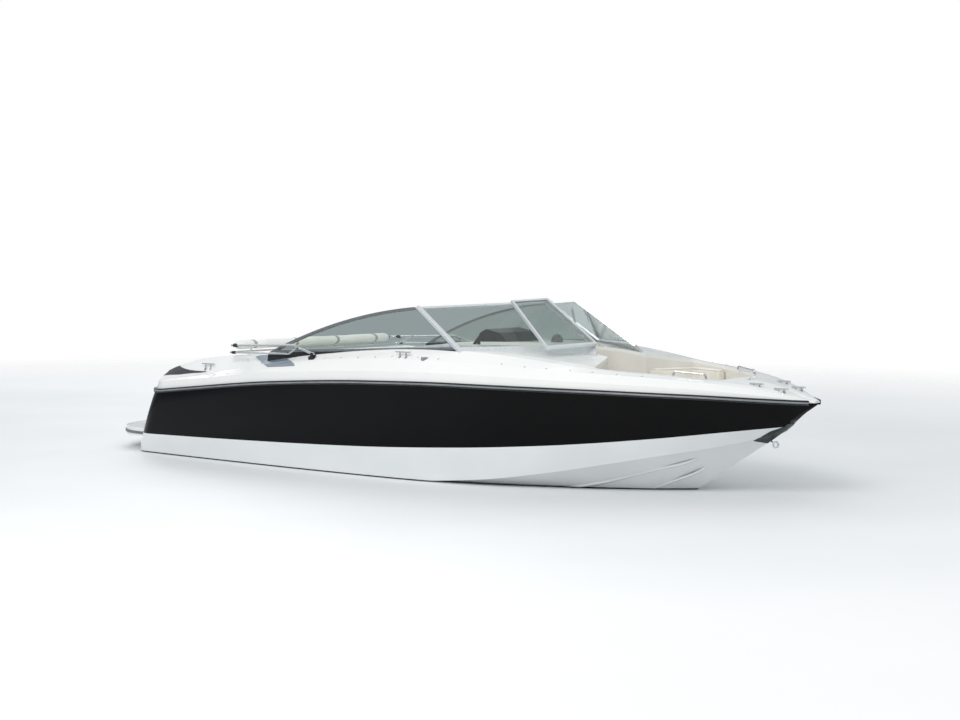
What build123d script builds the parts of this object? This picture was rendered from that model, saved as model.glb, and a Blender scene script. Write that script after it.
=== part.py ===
from build123d import *
from math import atan2, cos, pi, radians, sin
import os

# A 26 ft open-bow sterndrive runabout, afloat on its lines.
# Frame: +X to the bow, +Y to port, +Z up. Origin on the centreline, at the transom, on the waterline.

# Hull sections. Columns: station x, rail y, rail z, keel z, chine y, chine z, chine flat, side bulge
STATION_X, RAIL_Y, RAIL_Z, KEEL_Z, CHINE_Y, CHINE_Z = range(6)
STATIONS = [
    (-260, 1190, 545, -455, 1075, -62, 48, 34),
    (900, 1240, 668, -455, 1110, -55, 48, 34),
    (2200, 1277, 788, -455, 1120, -38, 46, 32),
    (3400, 1280, 850, -455, 1095, -8, 44, 28),
    (4400, 1244, 870, -446, 1000, 58, 40, 22),
    (5100, 1140, 868, -395, 838, 158, 34, 16),
    (5600, 998, 862, -243, 680, 252, 28, 12),
    (6050, 808, 850, 27, 468, 342, 22, 9),
    (6450, 588, 835, 283, 225, 425, 16, 7),
    (6800, 350, 815, 508, 70, 530, 10, 5),
    (7040, 165, 801, 695, 30, 708, 6, 4),
    (7165, 45, 794, 778, 12, 783, 2, 1),
]
LOFT_SECTIONS = 24
SHEER_OVERLAP = 40.0
HULL_WALL = 14.0
BOTTOM_WALL = 24.0
NOSE_SOLID_FROM = 6900.0
STRAKE_SHARES = (0.36, 0.68)
STRAKE_WIDTH = 46.0
STRAKE_DROP = 20.0
STRAKE_END_X = 6400.0
STRAKE_TIP = 400.0
STRAKE_FADE = 1500.0

# Transom: upright under its knuckle, leaning forward above it, crowned and round-cornered in plan
TRANSOM_KNUCKLE_Z = 40.0
TRANSOM_LEAN = 0.50
TRANSOM_CROWN = 110.0
TRANSOM_CORNER = 240.0
TRANSOM_HALF = 1215.0
TRANSOM_WALL = 40.0

# Boot line between the black topsides and the white bottom, in side view. Columns: x, z
BOOT_LINE = [(-400, 178), (1750, 226), (3200, 270), (4260, 324), (5160, 388), (5980, 472),
             (6560, 546), (7300, 640)]

# Deck sections, measured from the rail. Columns: station x, side rise, shoulder inset, shoulder
# rise, crest inset, crest rise, well rise, centre rise
DECK_STATIONS = [
    (-260, 78, 108, 92, 235, 108, 105, 110),
    (330, 90, 110, 120, 235, 190, 168, 174),
    (620, 92, 112, 124, 240, 250, 188, 196),
    (1020, 92, 114, 130, 245, 286, 204, 212),
    (1560, 94, 116, 150, 250, 282, 204, 212),
    (2000, 98, 118, 178, 250, 252, 238, 242),
    (2400, 100, 118, 192, 250, 274, 276, 284),
    (3500, 100, 120, 200, 250, 286, 288, 298),
    (4300, 96, 118, 190, 250, 276, 280, 294),
    (5100, 84, 112, 160, 245, 214, 230, 286),
    (5400, 78, 108, 148, 240, 176, 184, 212),
    (6050, 68, 98, 130, 220, 142, 146, 160),
    (6450, 58, 88, 112, 190, 122, 124, 134),
    (6800, 40, 66, 78, 130, 88, 90, 94),
    (7040, 22, 40, 44, 78, 50, 51, 54),
    (7165, 8, 14, 16, 26, 19, 19.5, 20),
]
WELL_INSET = 90.0
DECK_WALL = 14.0
VENT_Y = 960.0
ACCENT_Y = 1010.0

# Cockpit, walkway and bow cockpit
COCKPIT_AFT_X = 1850.0
COCKPIT_FORE_X = 3360.0
COCKPIT_HALF = 985.0
SOLE_Z = 200.0
WALK_HALF = 272.0
WALK_STEP_X = 4400.0
BOW_SOLE_Z = 320.0
BOW_AFT_X = 5270.0
BOW_SHOULDER_X = 5480.0
BOW_FORE_X = 6440.0
BOW_WELL_FORE_X = 5980.0
BOW_INSET = 285.0
BOW_BENCH_Z = 590.0
LINER_WALL = 14.0
SOLE_THICK = 30.0
WELL_CORNER = 70.0
LINER_SPLIT_X = 4380.0

# Rub rail
RAIL_HIGH = 20.0
RAIL_LOW = 22.0
RAIL_DEPTH = 18.0
RAIL_NOSE_X = 7186.0
RAIL_NOSE_LAP = 3.0
RAIL_STEP = 1.0
RAIL_SEAT = 0.8
RAIL_STERN_X = 1000.0
DECK_TUMBLE = 14.0

# Engine hatch and sun pads
HATCH_AFT_X = 420.0
HATCH_FORE_X = 1300.0
HATCH_HALF = 700.0
LID_GAP = 6.0
PAD_THICK = 45.0
SEAT_GAP = 0.3
HATCH_PIN_BACK = 4.3
HATCH_HINGE_Y = 430.0
FORE_PAD_AFT_X = 1312.0
FORE_PAD_FORE_X = 1800.0

# Anchor locker
ANCHOR_AFT_X = 6540.0
ANCHOR_FORE_X = 6860.0
ANCHOR_HALF = 100.0

# Ski locker in the sole
SKI_AFT_X = 2500.0
SKI_FORE_X = 3250.0
SKI_HALF = 210.0
SKI_LID = 16.0
SKI_LIP = 14.0

GLOVE_FACE_X = 3290.0
GLOVE_LOW_Z = 820.0

# Barrel hinges: pin, running clearance, knuckle and leaf
PIN_R = 3.0
RUNNING = 0.05
KNUCKLE_R = 6.0
LEAF_THICK = 2.5
SMALL_PIN_R = 2.0
SMALL_KNUCKLE_R = 4.5
KNUCKLE_GAP = 0.4

# Windshield corner points: near foot, inner foot, inner top, near top (port side)
WS_CORNER_FOOT = (4215, 1000, 1152)
WS_INNER_FOOT = (5146, 280, 1176)
WS_INNER_TOP = (4535, 205, 1551)
WS_CORNER_TOP = (3674, 930, 1509)
WS_WING_TIP = (1930, 1088, 1046)
WS_WING_ARCH = (2728, 1085, 1362)
WS_FRAME = 24.0
WS_THICK = 24.0
WS_SKIRT = 90.0
GLASS_THICK = 6.0
POST_R = 17.0
DOOR_GAP = 10.0
DOOR_OPEN = 190.0

# Sterndrive
STEER_X = -215.0
TILT_Z = -60.0
HOUSING_HALF = 240.0
HOUSING_LOW = -300.0
HOUSING_HIGH = 112.0
HOUSING_AFT = -185.0
HOUSING_WALL = 25.0
LUG_HALF = 46.0
LUG_WALL = 14.0
RING_HALF = 150.0
RING_ARM = 38.0
RING_TOP = 77.0
RING_LOW = -262.0
RING_AFT = -240.0
RING_FORE = -190.0
STEER_PIN_R = 14.0
TILT_PIN_R = 14.0
HUB_HALF = 100.0
HUB_R = 75.0
HUB_SWING = 98.0
PROP_Z = -600.0
PROP_R = 185.0
PROP_HUB_R = 56.0
PROP_AFT_X = -690.0
PROP_FORE_X = -570.0
PROP_PITCH = 480.0
BLADES = 3
TORPEDO_R = 58.0
TORPEDO_X = -405.0
TORPEDO_NOSE = 130.0
TORPEDO_TIP_R = 16.0
RAM_Y = 176.0
RAM_LOW = (-238.0, -225.0)
RAM_EYE = (-460.0, -200.0)
RAM_PIN_R = 8.0
RAM_DRIFT = 7.4
RAM_EYE_WALL = 8.6
RAM_DEPTH = 18.0

# Swim platform
PLATFORM_TOP = 215.0
PLATFORM_PLATE = 18.0
PLATFORM_AFT_X = -700.0
PLATFORM_HALF = 1010.0
PLATFORM_EDGE_LOW = 132.0
PLATFORM_WALL = 24.0

# Boarding ladder, stowed under the platform
LADDER_Y = 570.0
LADDER_HALF = 130.0
LADDER_AFT_X = -490.0
LADDER_FORE_X = -140.0
LADDER_STEPS = (-450.0, -360.0, -270.0)

# Bow eye in side view, its ring and hole
BOW_EYE = (6776.0, 431.0)
EYE_R = 30.0
EYE_BORE_R = 17.0
EYE_WIDTH = 16.0

# Bimini
BIMINI_PIVOT = (2550.0, 1060.0)
BIMINI_Y = 1126.0
BIMINI_AFT_X = 1420.0
BIMINI_TUBE_R = 11.0
SECOND_TUBE_R = 9.0
SECOND_PIVOT = (2360.0, 1104.0)
SECOND_Y = 1152.0

# Seats and helm
SEAT_X = 2720.0
SEAT_Y = 560.0
WHEEL_CENTRE = (3170.0, 560.0, 1085.0)
WHEEL_TILT = 28.0
WHEEL_R = 172.0

PARTS = "parts"


def at(x):
    # section plane at station x: local x to port, local y up
    return Plane(origin=(x, 0, 0), x_dir=(0, 1, 0), z_dir=(1, 0, 0))


def side(y=0.0):
    # side-view plane: local x forward, local y up, normal to starboard
    return Plane(origin=(0, y, 0), x_dir=(1, 0, 0), z_dir=(0, -1, 0))


def level(z):
    return Plane(origin=(0, 0, z), x_dir=(1, 0, 0), z_dir=(0, 0, 1))


def row_at(rows, x):
    for low, high in zip(rows, rows[1:]):
        if low[0] <= x <= high[0]:
            t = (x - low[0]) / (high[0] - low[0])
            return [a + (b - a) * t for a, b in zip(low, high)]
    return list(rows[0] if x < rows[0][0] else rows[-1])


def slope_at(xs, ys, k):
    # slope that keeps a faired column between its neighbours
    if k in (0, len(xs) - 1):
        k = min(k, len(xs) - 2)
        return (ys[k + 1] - ys[k]) / (xs[k + 1] - xs[k])
    before, after = xs[k] - xs[k - 1], xs[k + 1] - xs[k]
    d0, d1 = (ys[k] - ys[k - 1]) / before, (ys[k + 1] - ys[k]) / after
    if d0 * d1 <= 0:
        return 0.0
    return 3 * (before + after) / ((2 * after + before) / d0 + (after + 2 * before) / d1)


def faired_value(xs, ys, x):
    k = max(i for i in range(len(xs) - 1) if i == 0 or xs[i] <= x)
    span = xs[k + 1] - xs[k]
    t = (x - xs[k]) / span
    m0, m1 = slope_at(xs, ys, k) * span, slope_at(xs, ys, k + 1) * span
    h1 = t * t * (3 - 2 * t)
    return ys[k] * (1 - h1) + ys[k + 1] * h1 + m0 * t * (1 - t) ** 2 - m1 * t * t * (1 - t)


def faired(rows):
    # a short table drawn out to evenly spaced stations
    xs = [row[0] for row in rows]
    step = (xs[-1] - xs[0]) / (LOFT_SECTIONS - 1)
    stations = [xs[0] + step * k for k in range(LOFT_SECTIONS)]
    columns = [list(column) for column in zip(*rows)]
    return [[x] + [faired_value(xs, column, x) for column in columns[1:]] for x in stations]


HULL_ROWS = faired(STATIONS)
DECK_ROWS = faired(DECK_STATIONS)


def rail_y(x):
    return row_at(HULL_ROWS, x)[RAIL_Y]


def rail_z(x):
    return row_at(HULL_ROWS, x)[RAIL_Z]


def deck_z(x, y):
    # height of the deck surface at a plan position, between its section's points
    row = row_at(DECK_ROWS, x)
    ry, rz = rail_y(x), rail_z(x)
    knots = [(ry - 14, row[1]), (ry - row[2], row[3]), (ry - row[4], row[5]),
             (ry - row[4] - WELL_INSET, row[6]), (0, row[7])]
    y = abs(y)
    for (y0, z0), (y1, z1) in zip(knots, knots[1:]):
        if y1 <= y <= y0:
            return rz + z0 + (z1 - z0) * (y0 - y) / (y0 - y1)
    return rz + knots[0][1]


def face_of(points):
    return make_face(Polyline(*points, close=True))


def block(x0, x1, y0, y1, z0, z1):
    return Pos((x0 + x1) / 2, (y0 + y1) / 2, (z0 + z1) / 2) * Box(x1 - x0, y1 - y0, z1 - z0)


def soft_block(x0, x1, y0, y1, z0, z1, radius):
    box = block(x0, x1, y0, y1, z0, z1)
    return fillet(box.edges(), radius)


def port_starboard(shape):
    return shape + mirror(shape, about=Plane.XZ)


def flipped(point):
    return (point[0], -point[1], point[2])


def tube(points, radius, bend):
    path = FilletPolyline(*points, radius=bend) if len(points) > 2 else Polyline(*points)
    section = Plane(origin=path @ 0, z_dir=path % 0) * Circle(radius)
    return sweep(section, path=path)


def rod(start, end, radius):
    axis = Vector(*end) - Vector(*start)
    return extrude(Plane(origin=start, z_dir=axis) * Circle(radius), axis.length)


def save(shape, name):
    export_step(shape, f"{PARTS}/{name}.step")


# Hull shell

def side_points(row, inset=0.0, floor=0.0):
    # foot, middle and top of the arc of a topside section
    x, ry, rz, kz, cy, cz, flat, bulge = row
    f = (max(cy + flat - inset, 6), cz - flat * 0.25 + floor)
    r = (max(ry - inset, 8), rz + SHEER_OVERLAP)
    m = ((f[0] + r[0]) / 2 + bulge, (f[1] + r[1]) / 2 - bulge * 0.2)
    return f, m, r


def hull_section(row, inset=0.0, floor=0.0):
    k = (0, row[KEEL_Z] + floor)
    c = (max(row[CHINE_Y] - inset * 0.4, 4), row[CHINE_Z] + floor)
    f, m, r = side_points(row, inset, floor)
    sc, sf, sr, sm = ((-p[0], p[1]) for p in (c, f, r, m))
    edges = [Line(k, c), Line(c, f), ThreePointArc(f, m, r), Line(r, sr),
             ThreePointArc(sr, sm, sf), Line(sf, sc), Line(sc, k)]
    return at(row[STATION_X]) * make_face(edges)


def hull_loft(inset=0.0, floor=0.0):
    return loft([hull_section(row, inset, floor) for row in HULL_ROWS])


def stern_outline(shift):
    # plan of everything forward of the transom
    half = TRANSOM_HALF - shift
    r = TRANSOM_CORNER
    diag = r * sin(pi / 4)
    far_x, far_y, flare = 7600.0, 1600.0, 400.0
    p0, p1 = (shift, half - r), (shift, r - half)
    q0, q1 = (shift + r, half), (shift + r, -half)
    m0 = (shift + r - diag, half - r + diag)
    m1 = (shift + r - diag, r - half - diag)
    s0, s1 = (shift + r + flare, far_y), (shift + r + flare, -far_y)
    return make_face([
        ThreePointArc(p0, (shift - TRANSOM_CROWN, 0), p1), ThreePointArc(p1, m1, q1),
        Line(q1, s1), Line(s1, (far_x, -far_y)), Line((far_x, -far_y), (far_x, far_y)),
        Line((far_x, far_y), s0), Line(s0, q0), ThreePointArc(q0, m0, p0)])


def transom_x(y, z):
    # transom face at a height, inside its round corners
    span = TRANSOM_HALF - TRANSOM_CORNER
    return max(0.0, z - TRANSOM_KNUCKLE_Z) * TRANSOM_LEAN - TRANSOM_CROWN * (1 - (y / span) ** 2)


def inside_keep():
    # everything forward of the transom's inner face and aft of the solid nose
    return stern_keep(TRANSOM_WALL) & block(-1000, NOSE_SOLID_FROM, -1700, 1700, -900, 1700)


def stern_keep(shift=0.0):
    depth, height = 700.0, 1400.0
    lean = Vector(TRANSOM_LEAN, 0, 1)
    low = extrude(level(-depth) * stern_outline(shift), depth + TRANSOM_KNUCKLE_Z)
    high = extrude(level(TRANSOM_KNUCKLE_Z) * stern_outline(shift), height * lean.length, dir=lean)
    return low + high


def under_line(points):
    # everything under a line drawn in side view
    low = -900.0
    first, last = points[0], points[-1]
    face = side() * make_face([Spline(*points), Line(last, (last[0], low)),
                               Line((last[0], low), (first[0], low)), Line((first[0], low), first)])
    return extrude(face, 1700, both=True)


def sheer_line():
    points = [(row[0], row[RAIL_Z]) for row in HULL_ROWS]
    return points + [(7600.0, points[-1][1] - 24.0)]


def strake(share):
    # lifting strake: a wedge along the bottom, a share of the way from keel to chine
    faces = []
    for row in [row for row in HULL_ROWS if row[0] < STRAKE_END_X]:
        x, kz, cy, cz = row[0], row[3], row[4], row[5]
        fade = min(1.0, (STRAKE_END_X + STRAKE_TIP - x) / STRAKE_FADE)
        slope = (cz - kz) / cy
        y0 = cy * share
        y1 = y0 + STRAKE_WIDTH * fade
        z0, z1 = kz + slope * y0, kz + slope * y1
        drop = STRAKE_DROP * fade
        points = [(y0 - 2, z0 + 4), (y0, z0), (y1, z1 - drop), (y1 + 1, z1 + 4)]
        faces.append(at(x) * face_of(points))
    return loft(faces)


def hull(keep, keep_inside, sheer):
    full = (hull_loft() & keep) & sheer
    shell = full - (hull_loft(HULL_WALL, BOTTOM_WALL) & keep_inside)
    boot = under_line(BOOT_LINE)
    return full, shell & boot, shell - boot


def spray_strakes(hull_full, keep):
    shape = Part()
    for share in STRAKE_SHARES:
        shape += port_starboard((strake(share) & keep) - hull_full)
    return shape


# Deck moulding

def deck_section(row, grow=0.0, drop=0.0):
    x, side_rise, shoulder_in, shoulder_up, crest_in, crest_up, well_up, centre_up = row
    ry, rz = rail_y(x), rail_z(x)
    tumble = min(DECK_TUMBLE, side_rise)
    foot = (max(ry + grow, 5), rz - SHEER_OVERLAP)
    top = (max(ry - tumble + grow, 4.5), rz + side_rise - drop * 0.5 + grow * 0.5)
    shoulder = (max(ry - shoulder_in + grow * 0.7, 4), rz + shoulder_up - drop + grow)
    crest = (max(ry - crest_in + grow * 0.3, 3.5), rz + crest_up - drop + grow)
    well_in = min(WELL_INSET, crest[0] * 0.5)
    well = (crest[0] - well_in, rz + well_up - drop + grow)
    centre = (0, rz + centre_up - drop + grow)
    half = [foot, top, shoulder, crest, well]
    other = [(-y, z) for y, z in reversed(half)]
    return at(x) * face_of(half + [centre] + other)


def deck_loft(grow=0.0, drop=0.0):
    return loft([deck_section(row, grow, drop) for row in DECK_ROWS])


def cockpit_plan(grow=0.0):
    # main cockpit with the walkway between the consoles
    a, f = COCKPIT_AFT_X - grow, COCKPIT_FORE_X + grow
    h, w = COCKPIT_HALF + grow, WALK_HALF + grow
    end = BOW_AFT_X + 60
    points = [(a, -h), (f, -h), (f, -w), (end, -w), (end, w), (f, w), (f, h), (a, h)]
    face = face_of(points)
    corners = [v for v in face.vertices() if v.X < f + 1 and abs(v.Y) > w + 1]
    return fillet(corners, WELL_CORNER + grow)


def bow_plan(grow=0.0):
    # bow cockpit: swept aft corners, sides that follow the rail, blunt front
    aft, fore = BOW_AFT_X - grow, BOW_FORE_X + grow
    w = WALK_HALF + grow
    shoulder = BOW_SHOULDER_X - grow
    ys = [rail_y(x) - BOW_INSET + grow for x in (shoulder, (shoulder + fore) / 2, fore)]
    mid = ((shoulder + fore) / 2, ys[1] + 8)
    arc_s = ThreePointArc((shoulder, -ys[0]), (mid[0], -mid[1]), (fore, -ys[2]))
    arc_p = ThreePointArc((fore, ys[2]), mid, (shoulder, ys[0]))
    face = make_face([Line((aft, -w), (shoulder, -ys[0])), arc_s, Line((fore, -ys[2]), (fore, ys[2])),
                      arc_p, Line((shoulder, ys[0]), (aft, w)), Line((aft, w), (aft, -w))])
    corners = [v for v in face.vertices() if v.X > aft + 1]
    return fillet(corners, WELL_CORNER + grow)


def walk_plan(grow, x0, x1):
    w = WALK_HALF + grow
    return face_of([(x0, -w), (x1, -w), (x1, w), (x0, w)])


def raised(face, z, top=1500.0):
    return extrude(level(z) * face, top - z)


def openings():
    return raised(cockpit_plan(), 100) + raised(bow_plan(), 100)


def hatch_prism(grow=0.0):
    face = face_of([(HATCH_AFT_X - grow, -HATCH_HALF - grow), (HATCH_FORE_X + grow, -HATCH_HALF - grow),
                    (HATCH_FORE_X + grow, HATCH_HALF + grow), (HATCH_AFT_X - grow, HATCH_HALF + grow)])
    return raised(fillet(face.vertices(), 60 + grow), 100)


def anchor_prism(grow=0.0):
    a, f, h = ANCHOR_AFT_X - grow, ANCHOR_FORE_X + grow, ANCHOR_HALF + grow
    face = face_of([(a, -h), (f, -h * 0.55), (f, h * 0.55), (a, h)])
    return raised(fillet(face.vertices(), 24 + grow), 600)


def liners(deck_inside):
    # floors, walls and the hidden steps between them, in one moulding cut in two
    outside = raised(cockpit_plan(LINER_WALL), SOLE_Z - SOLE_THICK)
    outside += raised(bow_plan(LINER_WALL), BOW_BENCH_Z - SOLE_THICK)
    outside += raised(walk_plan(LINER_WALL, WALK_STEP_X - 200, BOW_WELL_FORE_X + LINER_WALL),
                      BOW_SOLE_Z - SOLE_THICK)
    cockpit_void = raised(cockpit_plan(), SOLE_Z)
    step = block(WALK_STEP_X, BOW_AFT_X + 100, -WALK_HALF, WALK_HALF, SOLE_Z, BOW_SOLE_Z)
    inside = (cockpit_void - step) + raised(bow_plan(), BOW_BENCH_Z)
    inside += raised(walk_plan(0, WALK_STEP_X, BOW_WELL_FORE_X), BOW_SOLE_Z)
    under_step = block(WALK_STEP_X + LINER_WALL, BOW_AFT_X + 400, -600, 600, 0, BOW_SOLE_Z - SOLE_THICK)
    liner = ((outside - inside) - under_step) & deck_inside
    aft = block(0, LINER_SPLIT_X, -1400, 1400, 0, 1600)
    return liner & aft, liner - aft


def ski_locker():
    # rebate that carries the lid, and the hole through the sole inside it
    rebate = block(SKI_AFT_X, SKI_FORE_X, -SKI_HALF, SKI_HALF, SOLE_Z - SKI_LID - SEAT_GAP, SOLE_Z + 50)
    hole = block(SKI_AFT_X + SKI_LIP, SKI_FORE_X - SKI_LIP, SKI_LIP - SKI_HALF, SKI_HALF - SKI_LIP, 0, SOLE_Z)
    lid = block(SKI_AFT_X + 4, SKI_FORE_X - 4, 4 - SKI_HALF, SKI_HALF - 4, SOLE_Z - SKI_LID, SOLE_Z)
    origins = [(SKI_AFT_X + 2, y, SOLE_Z + SMALL_KNUCKLE_R) for y in (-130, 130)]
    still, swung = hinge_pair(origins, (0, -1, 0), (0, 0, 1), 60, 24, SMALL_KNUCKLE_R, SMALL_PIN_R)
    return rebate + hole, lid + swung, still


def hatch_hinges(deck_full):
    x = HATCH_AFT_X - HATCH_PIN_BACK
    z = deck_z(x, HATCH_HINGE_Y) + KNUCKLE_R + SEAT_GAP
    origins = [(x, y, z) for y in (-HATCH_HINGE_Y, HATCH_HINGE_Y)]
    still, swung = hinge_pair(origins, (0, -1, 0), (0, 0, 1), 120, 34)
    return still - deck_full, swung


def anchor_hinges(deck_full):
    x = ANCHOR_AFT_X - LID_GAP / 2
    origins = [(x, 0, deck_z(x, 0) + SMALL_KNUCKLE_R + SEAT_GAP)]
    still, swung = hinge_pair(origins, (0, -1, 0), (0, 0, 1), 60, 24, SMALL_KNUCKLE_R, SMALL_PIN_R)
    return still - deck_full, swung


# Barrel hinge: pin and outer knuckles on one leaf, the middle knuckle on the other

def barrel_hinge(plane, length, leaf_reach, radius=KNUCKLE_R, pin=PIN_R):
    # local x is the pin, the fixed leaf runs to -y and the moving leaf to +y, both on z = -radius
    third = length / 3

    def along(r, x0, x1):
        return Pos((x0 + x1) / 2, 0, 0) * Rot(0, 90, 0) * Cylinder(r, x1 - x0)

    def leaf(x0, x1, y0, y1):
        return block(x0, x1, y0, y1, -radius, -radius + LEAF_THICK)

    fixed = along(pin, -length / 2, length / 2)
    for x0, x1 in ((-length / 2, -third / 2), (third / 2, length / 2)):
        fixed += along(radius, x0, x1) + leaf(x0, x1, -leaf_reach, 0)
    x1 = third / 2 - KNUCKLE_GAP
    moving = along(radius, -x1, x1) + leaf(-x1, x1, 0, leaf_reach)
    moving -= along(pin + RUNNING, -length, length)
    return plane * fixed, plane * moving


def hinge_pair(origins, x_dir, z_dir, length, leaf_reach, radius=KNUCKLE_R, pin=PIN_R):
    fixed, moving = Part(), Part()
    for origin in origins:
        still, swung = barrel_hinge(Plane(origin=origin, x_dir=x_dir, z_dir=z_dir), length, leaf_reach,
                                    radius, pin)
        fixed += still
        moving += swung
    return fixed, moving


# Windshield

def plane_through(origin, toward, third):
    x = Vector(*toward) - Vector(*origin)
    n = x.cross(Vector(*third) - Vector(*origin))
    return Plane(origin=origin, x_dir=x, z_dir=n)


def in_plane(plane, point):
    local = plane.to_local_coords(Vector(*point))
    return (local.X, local.Y)


def framed(plane, outline, skirt):
    # a glazed panel: face outline in its plane, with a skirt that runs into the deck
    inner = offset(outline, -WS_FRAME, kind=Kind.INTERSECTION)
    ring = outline + skirt - inner
    frame = extrude(plane * ring, WS_THICK / 2, both=True)
    glass = extrude(plane * inner, GLASS_THICK / 2, both=True)
    return frame, glass


def wing_panel():
    plane = plane_through(WS_CORNER_FOOT, WS_WING_TIP, WS_CORNER_TOP)
    foot, tip, top, arch = (in_plane(plane, p) for p in
                            (WS_CORNER_FOOT, WS_WING_TIP, WS_CORNER_TOP, WS_WING_ARCH))
    outline = make_face([Line(foot, tip), ThreePointArc(tip, arch, top), Line(top, foot)])
    skirt = face_of([foot, tip, (tip[0], tip[1] - WS_SKIRT), (foot[0], foot[1] - WS_SKIRT)])
    return framed(plane, outline, skirt)


def front_plane():
    crown = [(a + b) / 2 for a, b in zip(WS_INNER_TOP, WS_CORNER_TOP)]
    return plane_through(WS_CORNER_FOOT, WS_INNER_FOOT, crown)


def front_outline(plane):
    return [in_plane(plane, p) for p in (WS_CORNER_FOOT, WS_INNER_FOOT, WS_INNER_TOP, WS_CORNER_TOP)]


def front_panel():
    plane = front_plane()
    foot, inner_foot, inner_top, top = front_outline(plane)
    outline = face_of([foot, inner_foot, inner_top, top])
    skirt = face_of([foot, inner_foot, (inner_foot[0], inner_foot[1] - WS_SKIRT),
                     (foot[0], foot[1] - WS_SKIRT)])
    return framed(plane, outline, skirt)


def door_hinge_plane():
    # pin along the starboard panel's inner edge, standing off its forward face
    foot, top = Vector(*flipped(WS_INNER_FOOT)), Vector(*flipped(WS_INNER_TOP))
    up = (top - foot).normalized()
    across = Vector(0, 1, 0)
    normal = up.cross(across).normalized()
    if normal.X < 0:
        normal = -normal
    mid = (foot + top) * 0.5 + across * (DOOR_GAP / 2) + normal * (WS_THICK / 2 + KNUCKLE_R)
    return Plane(origin=mid, x_dir=up, z_dir=normal), up, normal


def windshield_door():
    # the closed door fills the gap between the inner posts; it rests folded forward
    hinge_plane, up, normal = door_hinge_plane()
    foot, top = Vector(*flipped(WS_INNER_FOOT)), Vector(*flipped(WS_INNER_TOP))
    plane = Plane(origin=(foot + Vector(*WS_INNER_FOOT)) * 0.5, x_dir=(0, 1, 0), z_dir=normal)
    height = plane.to_local_coords(Vector(*WS_INNER_TOP)).Y
    half_low = WS_INNER_FOOT[1] - DOOR_GAP
    half_high = WS_INNER_TOP[1] - DOOR_GAP
    outline = face_of([(-half_low, 0), (half_low, 0), (half_high, height), (-half_high, height)])
    inner = offset(outline, -WS_FRAME, kind=Kind.INTERSECTION)
    frame = extrude(plane * (outline - inner), WS_THICK / 2, both=True)
    glass = extrude(plane * inner, GLASS_THICK / 2, both=True)
    origins = [hinge_plane.origin + up * offset_up for offset_up in (-height * 0.3, height * 0.3)]
    still, swung = hinge_pair(origins, -up, normal, 60, 18)
    return frame + swung, glass, still, hinge_plane


def windshield(deck_full):
    wing, wing_glass = wing_panel()
    front, front_glass = front_panel()
    post = rod(WS_CORNER_FOOT, WS_CORNER_TOP, POST_R)
    low_post = rod((WS_CORNER_FOOT[0] + 60, WS_CORNER_FOOT[1] + 8, WS_CORNER_FOOT[2] - 40),
                   WS_CORNER_FOOT, POST_R)
    frame = (wing + front + post + low_post) - deck_full
    glass = (wing_glass - front - post) + (front_glass - wing - post)
    return frame, glass - deck_full


# Sterndrive

def transom_housing(hull_full):
    # open box on the transom with swivel lugs over and under the gimbal ring
    h, w = HOUSING_HALF, HOUSING_WALL
    outer = block(HOUSING_AFT, 0, -h, h, HOUSING_LOW, HOUSING_HIGH)
    inner = block(HOUSING_AFT - 1, 200, w - h, h - w, HOUSING_LOW + w, HOUSING_HIGH - w)
    box = fillet(outer.edges().filter_by(Axis.X), 60) - fillet(inner.edges().filter_by(Axis.X), 36)
    lugs = Part()
    for low, high in ((RING_TOP + 5, HOUSING_HIGH), (HOUSING_LOW, RING_LOW - 5)):
        lugs += block(STEER_X, HOUSING_AFT + 1, -LUG_HALF, LUG_HALF, low, high)
        lugs += rod((STEER_X, 0, low), (STEER_X, 0, high), STEER_PIN_R + LUG_WALL)
    pins = rod((STEER_X, 0, RING_TOP - 26), (STEER_X, 0, HOUSING_HIGH), STEER_PIN_R)
    pins += rod((STEER_X, 0, HOUSING_LOW), (STEER_X, 0, RING_LOW + 26), STEER_PIN_R)
    return (box + lugs + pins) - hull_full


def gimbal_ring():
    arm = RING_ARM
    outer = block(RING_AFT, RING_FORE, -RING_HALF, RING_HALF, RING_LOW, RING_TOP)
    inner = block(RING_AFT - 1, RING_FORE + 1, arm - RING_HALF, RING_HALF - arm,
                  RING_LOW + 32, RING_TOP - 32)
    ring = fillet(outer.edges().filter_by(Axis.X), 40) - inner
    ring -= rod((STEER_X, 0, RING_LOW - 10), (STEER_X, 0, RING_TOP + 10), STEER_PIN_R + RUNNING)
    inboard = RING_HALF - arm
    pin = rod((STEER_X, inboard - 40, TILT_Z), (STEER_X, inboard + 5, TILT_Z), TILT_PIN_R)
    ram_pin = rod((RAM_LOW[0], RING_HALF - 5, RAM_LOW[1]), (RAM_LOW[0], RAM_Y + 14, RAM_LOW[1]),
                  RAM_PIN_R)
    return ring + port_starboard(pin) + port_starboard(ram_pin)


def drive_leg_face():
    # side profile of the drive: upper housing, leg and skeg
    x0 = STEER_X
    points = [(x0, TILT_Z + HUB_R - 24), (x0 - 150, TILT_Z + 41), (x0 - 235, TILT_Z - 5),
              (x0 - 262, TILT_Z - 120), (x0 - 280, PROP_Z + 215), (x0 - 330, PROP_Z + 60),
              (x0 - 300, PROP_Z - 60), (x0 - 265, PROP_Z - 205), (x0 - 205, PROP_Z - 210),
              (x0 - 118, PROP_Z - 60), (x0 - 100, PROP_Z + 60), (x0 - 92, PROP_Z + 215),
              (x0 - 40, TILT_Z - 150), (x0, TILT_Z - HUB_R + 14)]
    return face_of(points)


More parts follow.
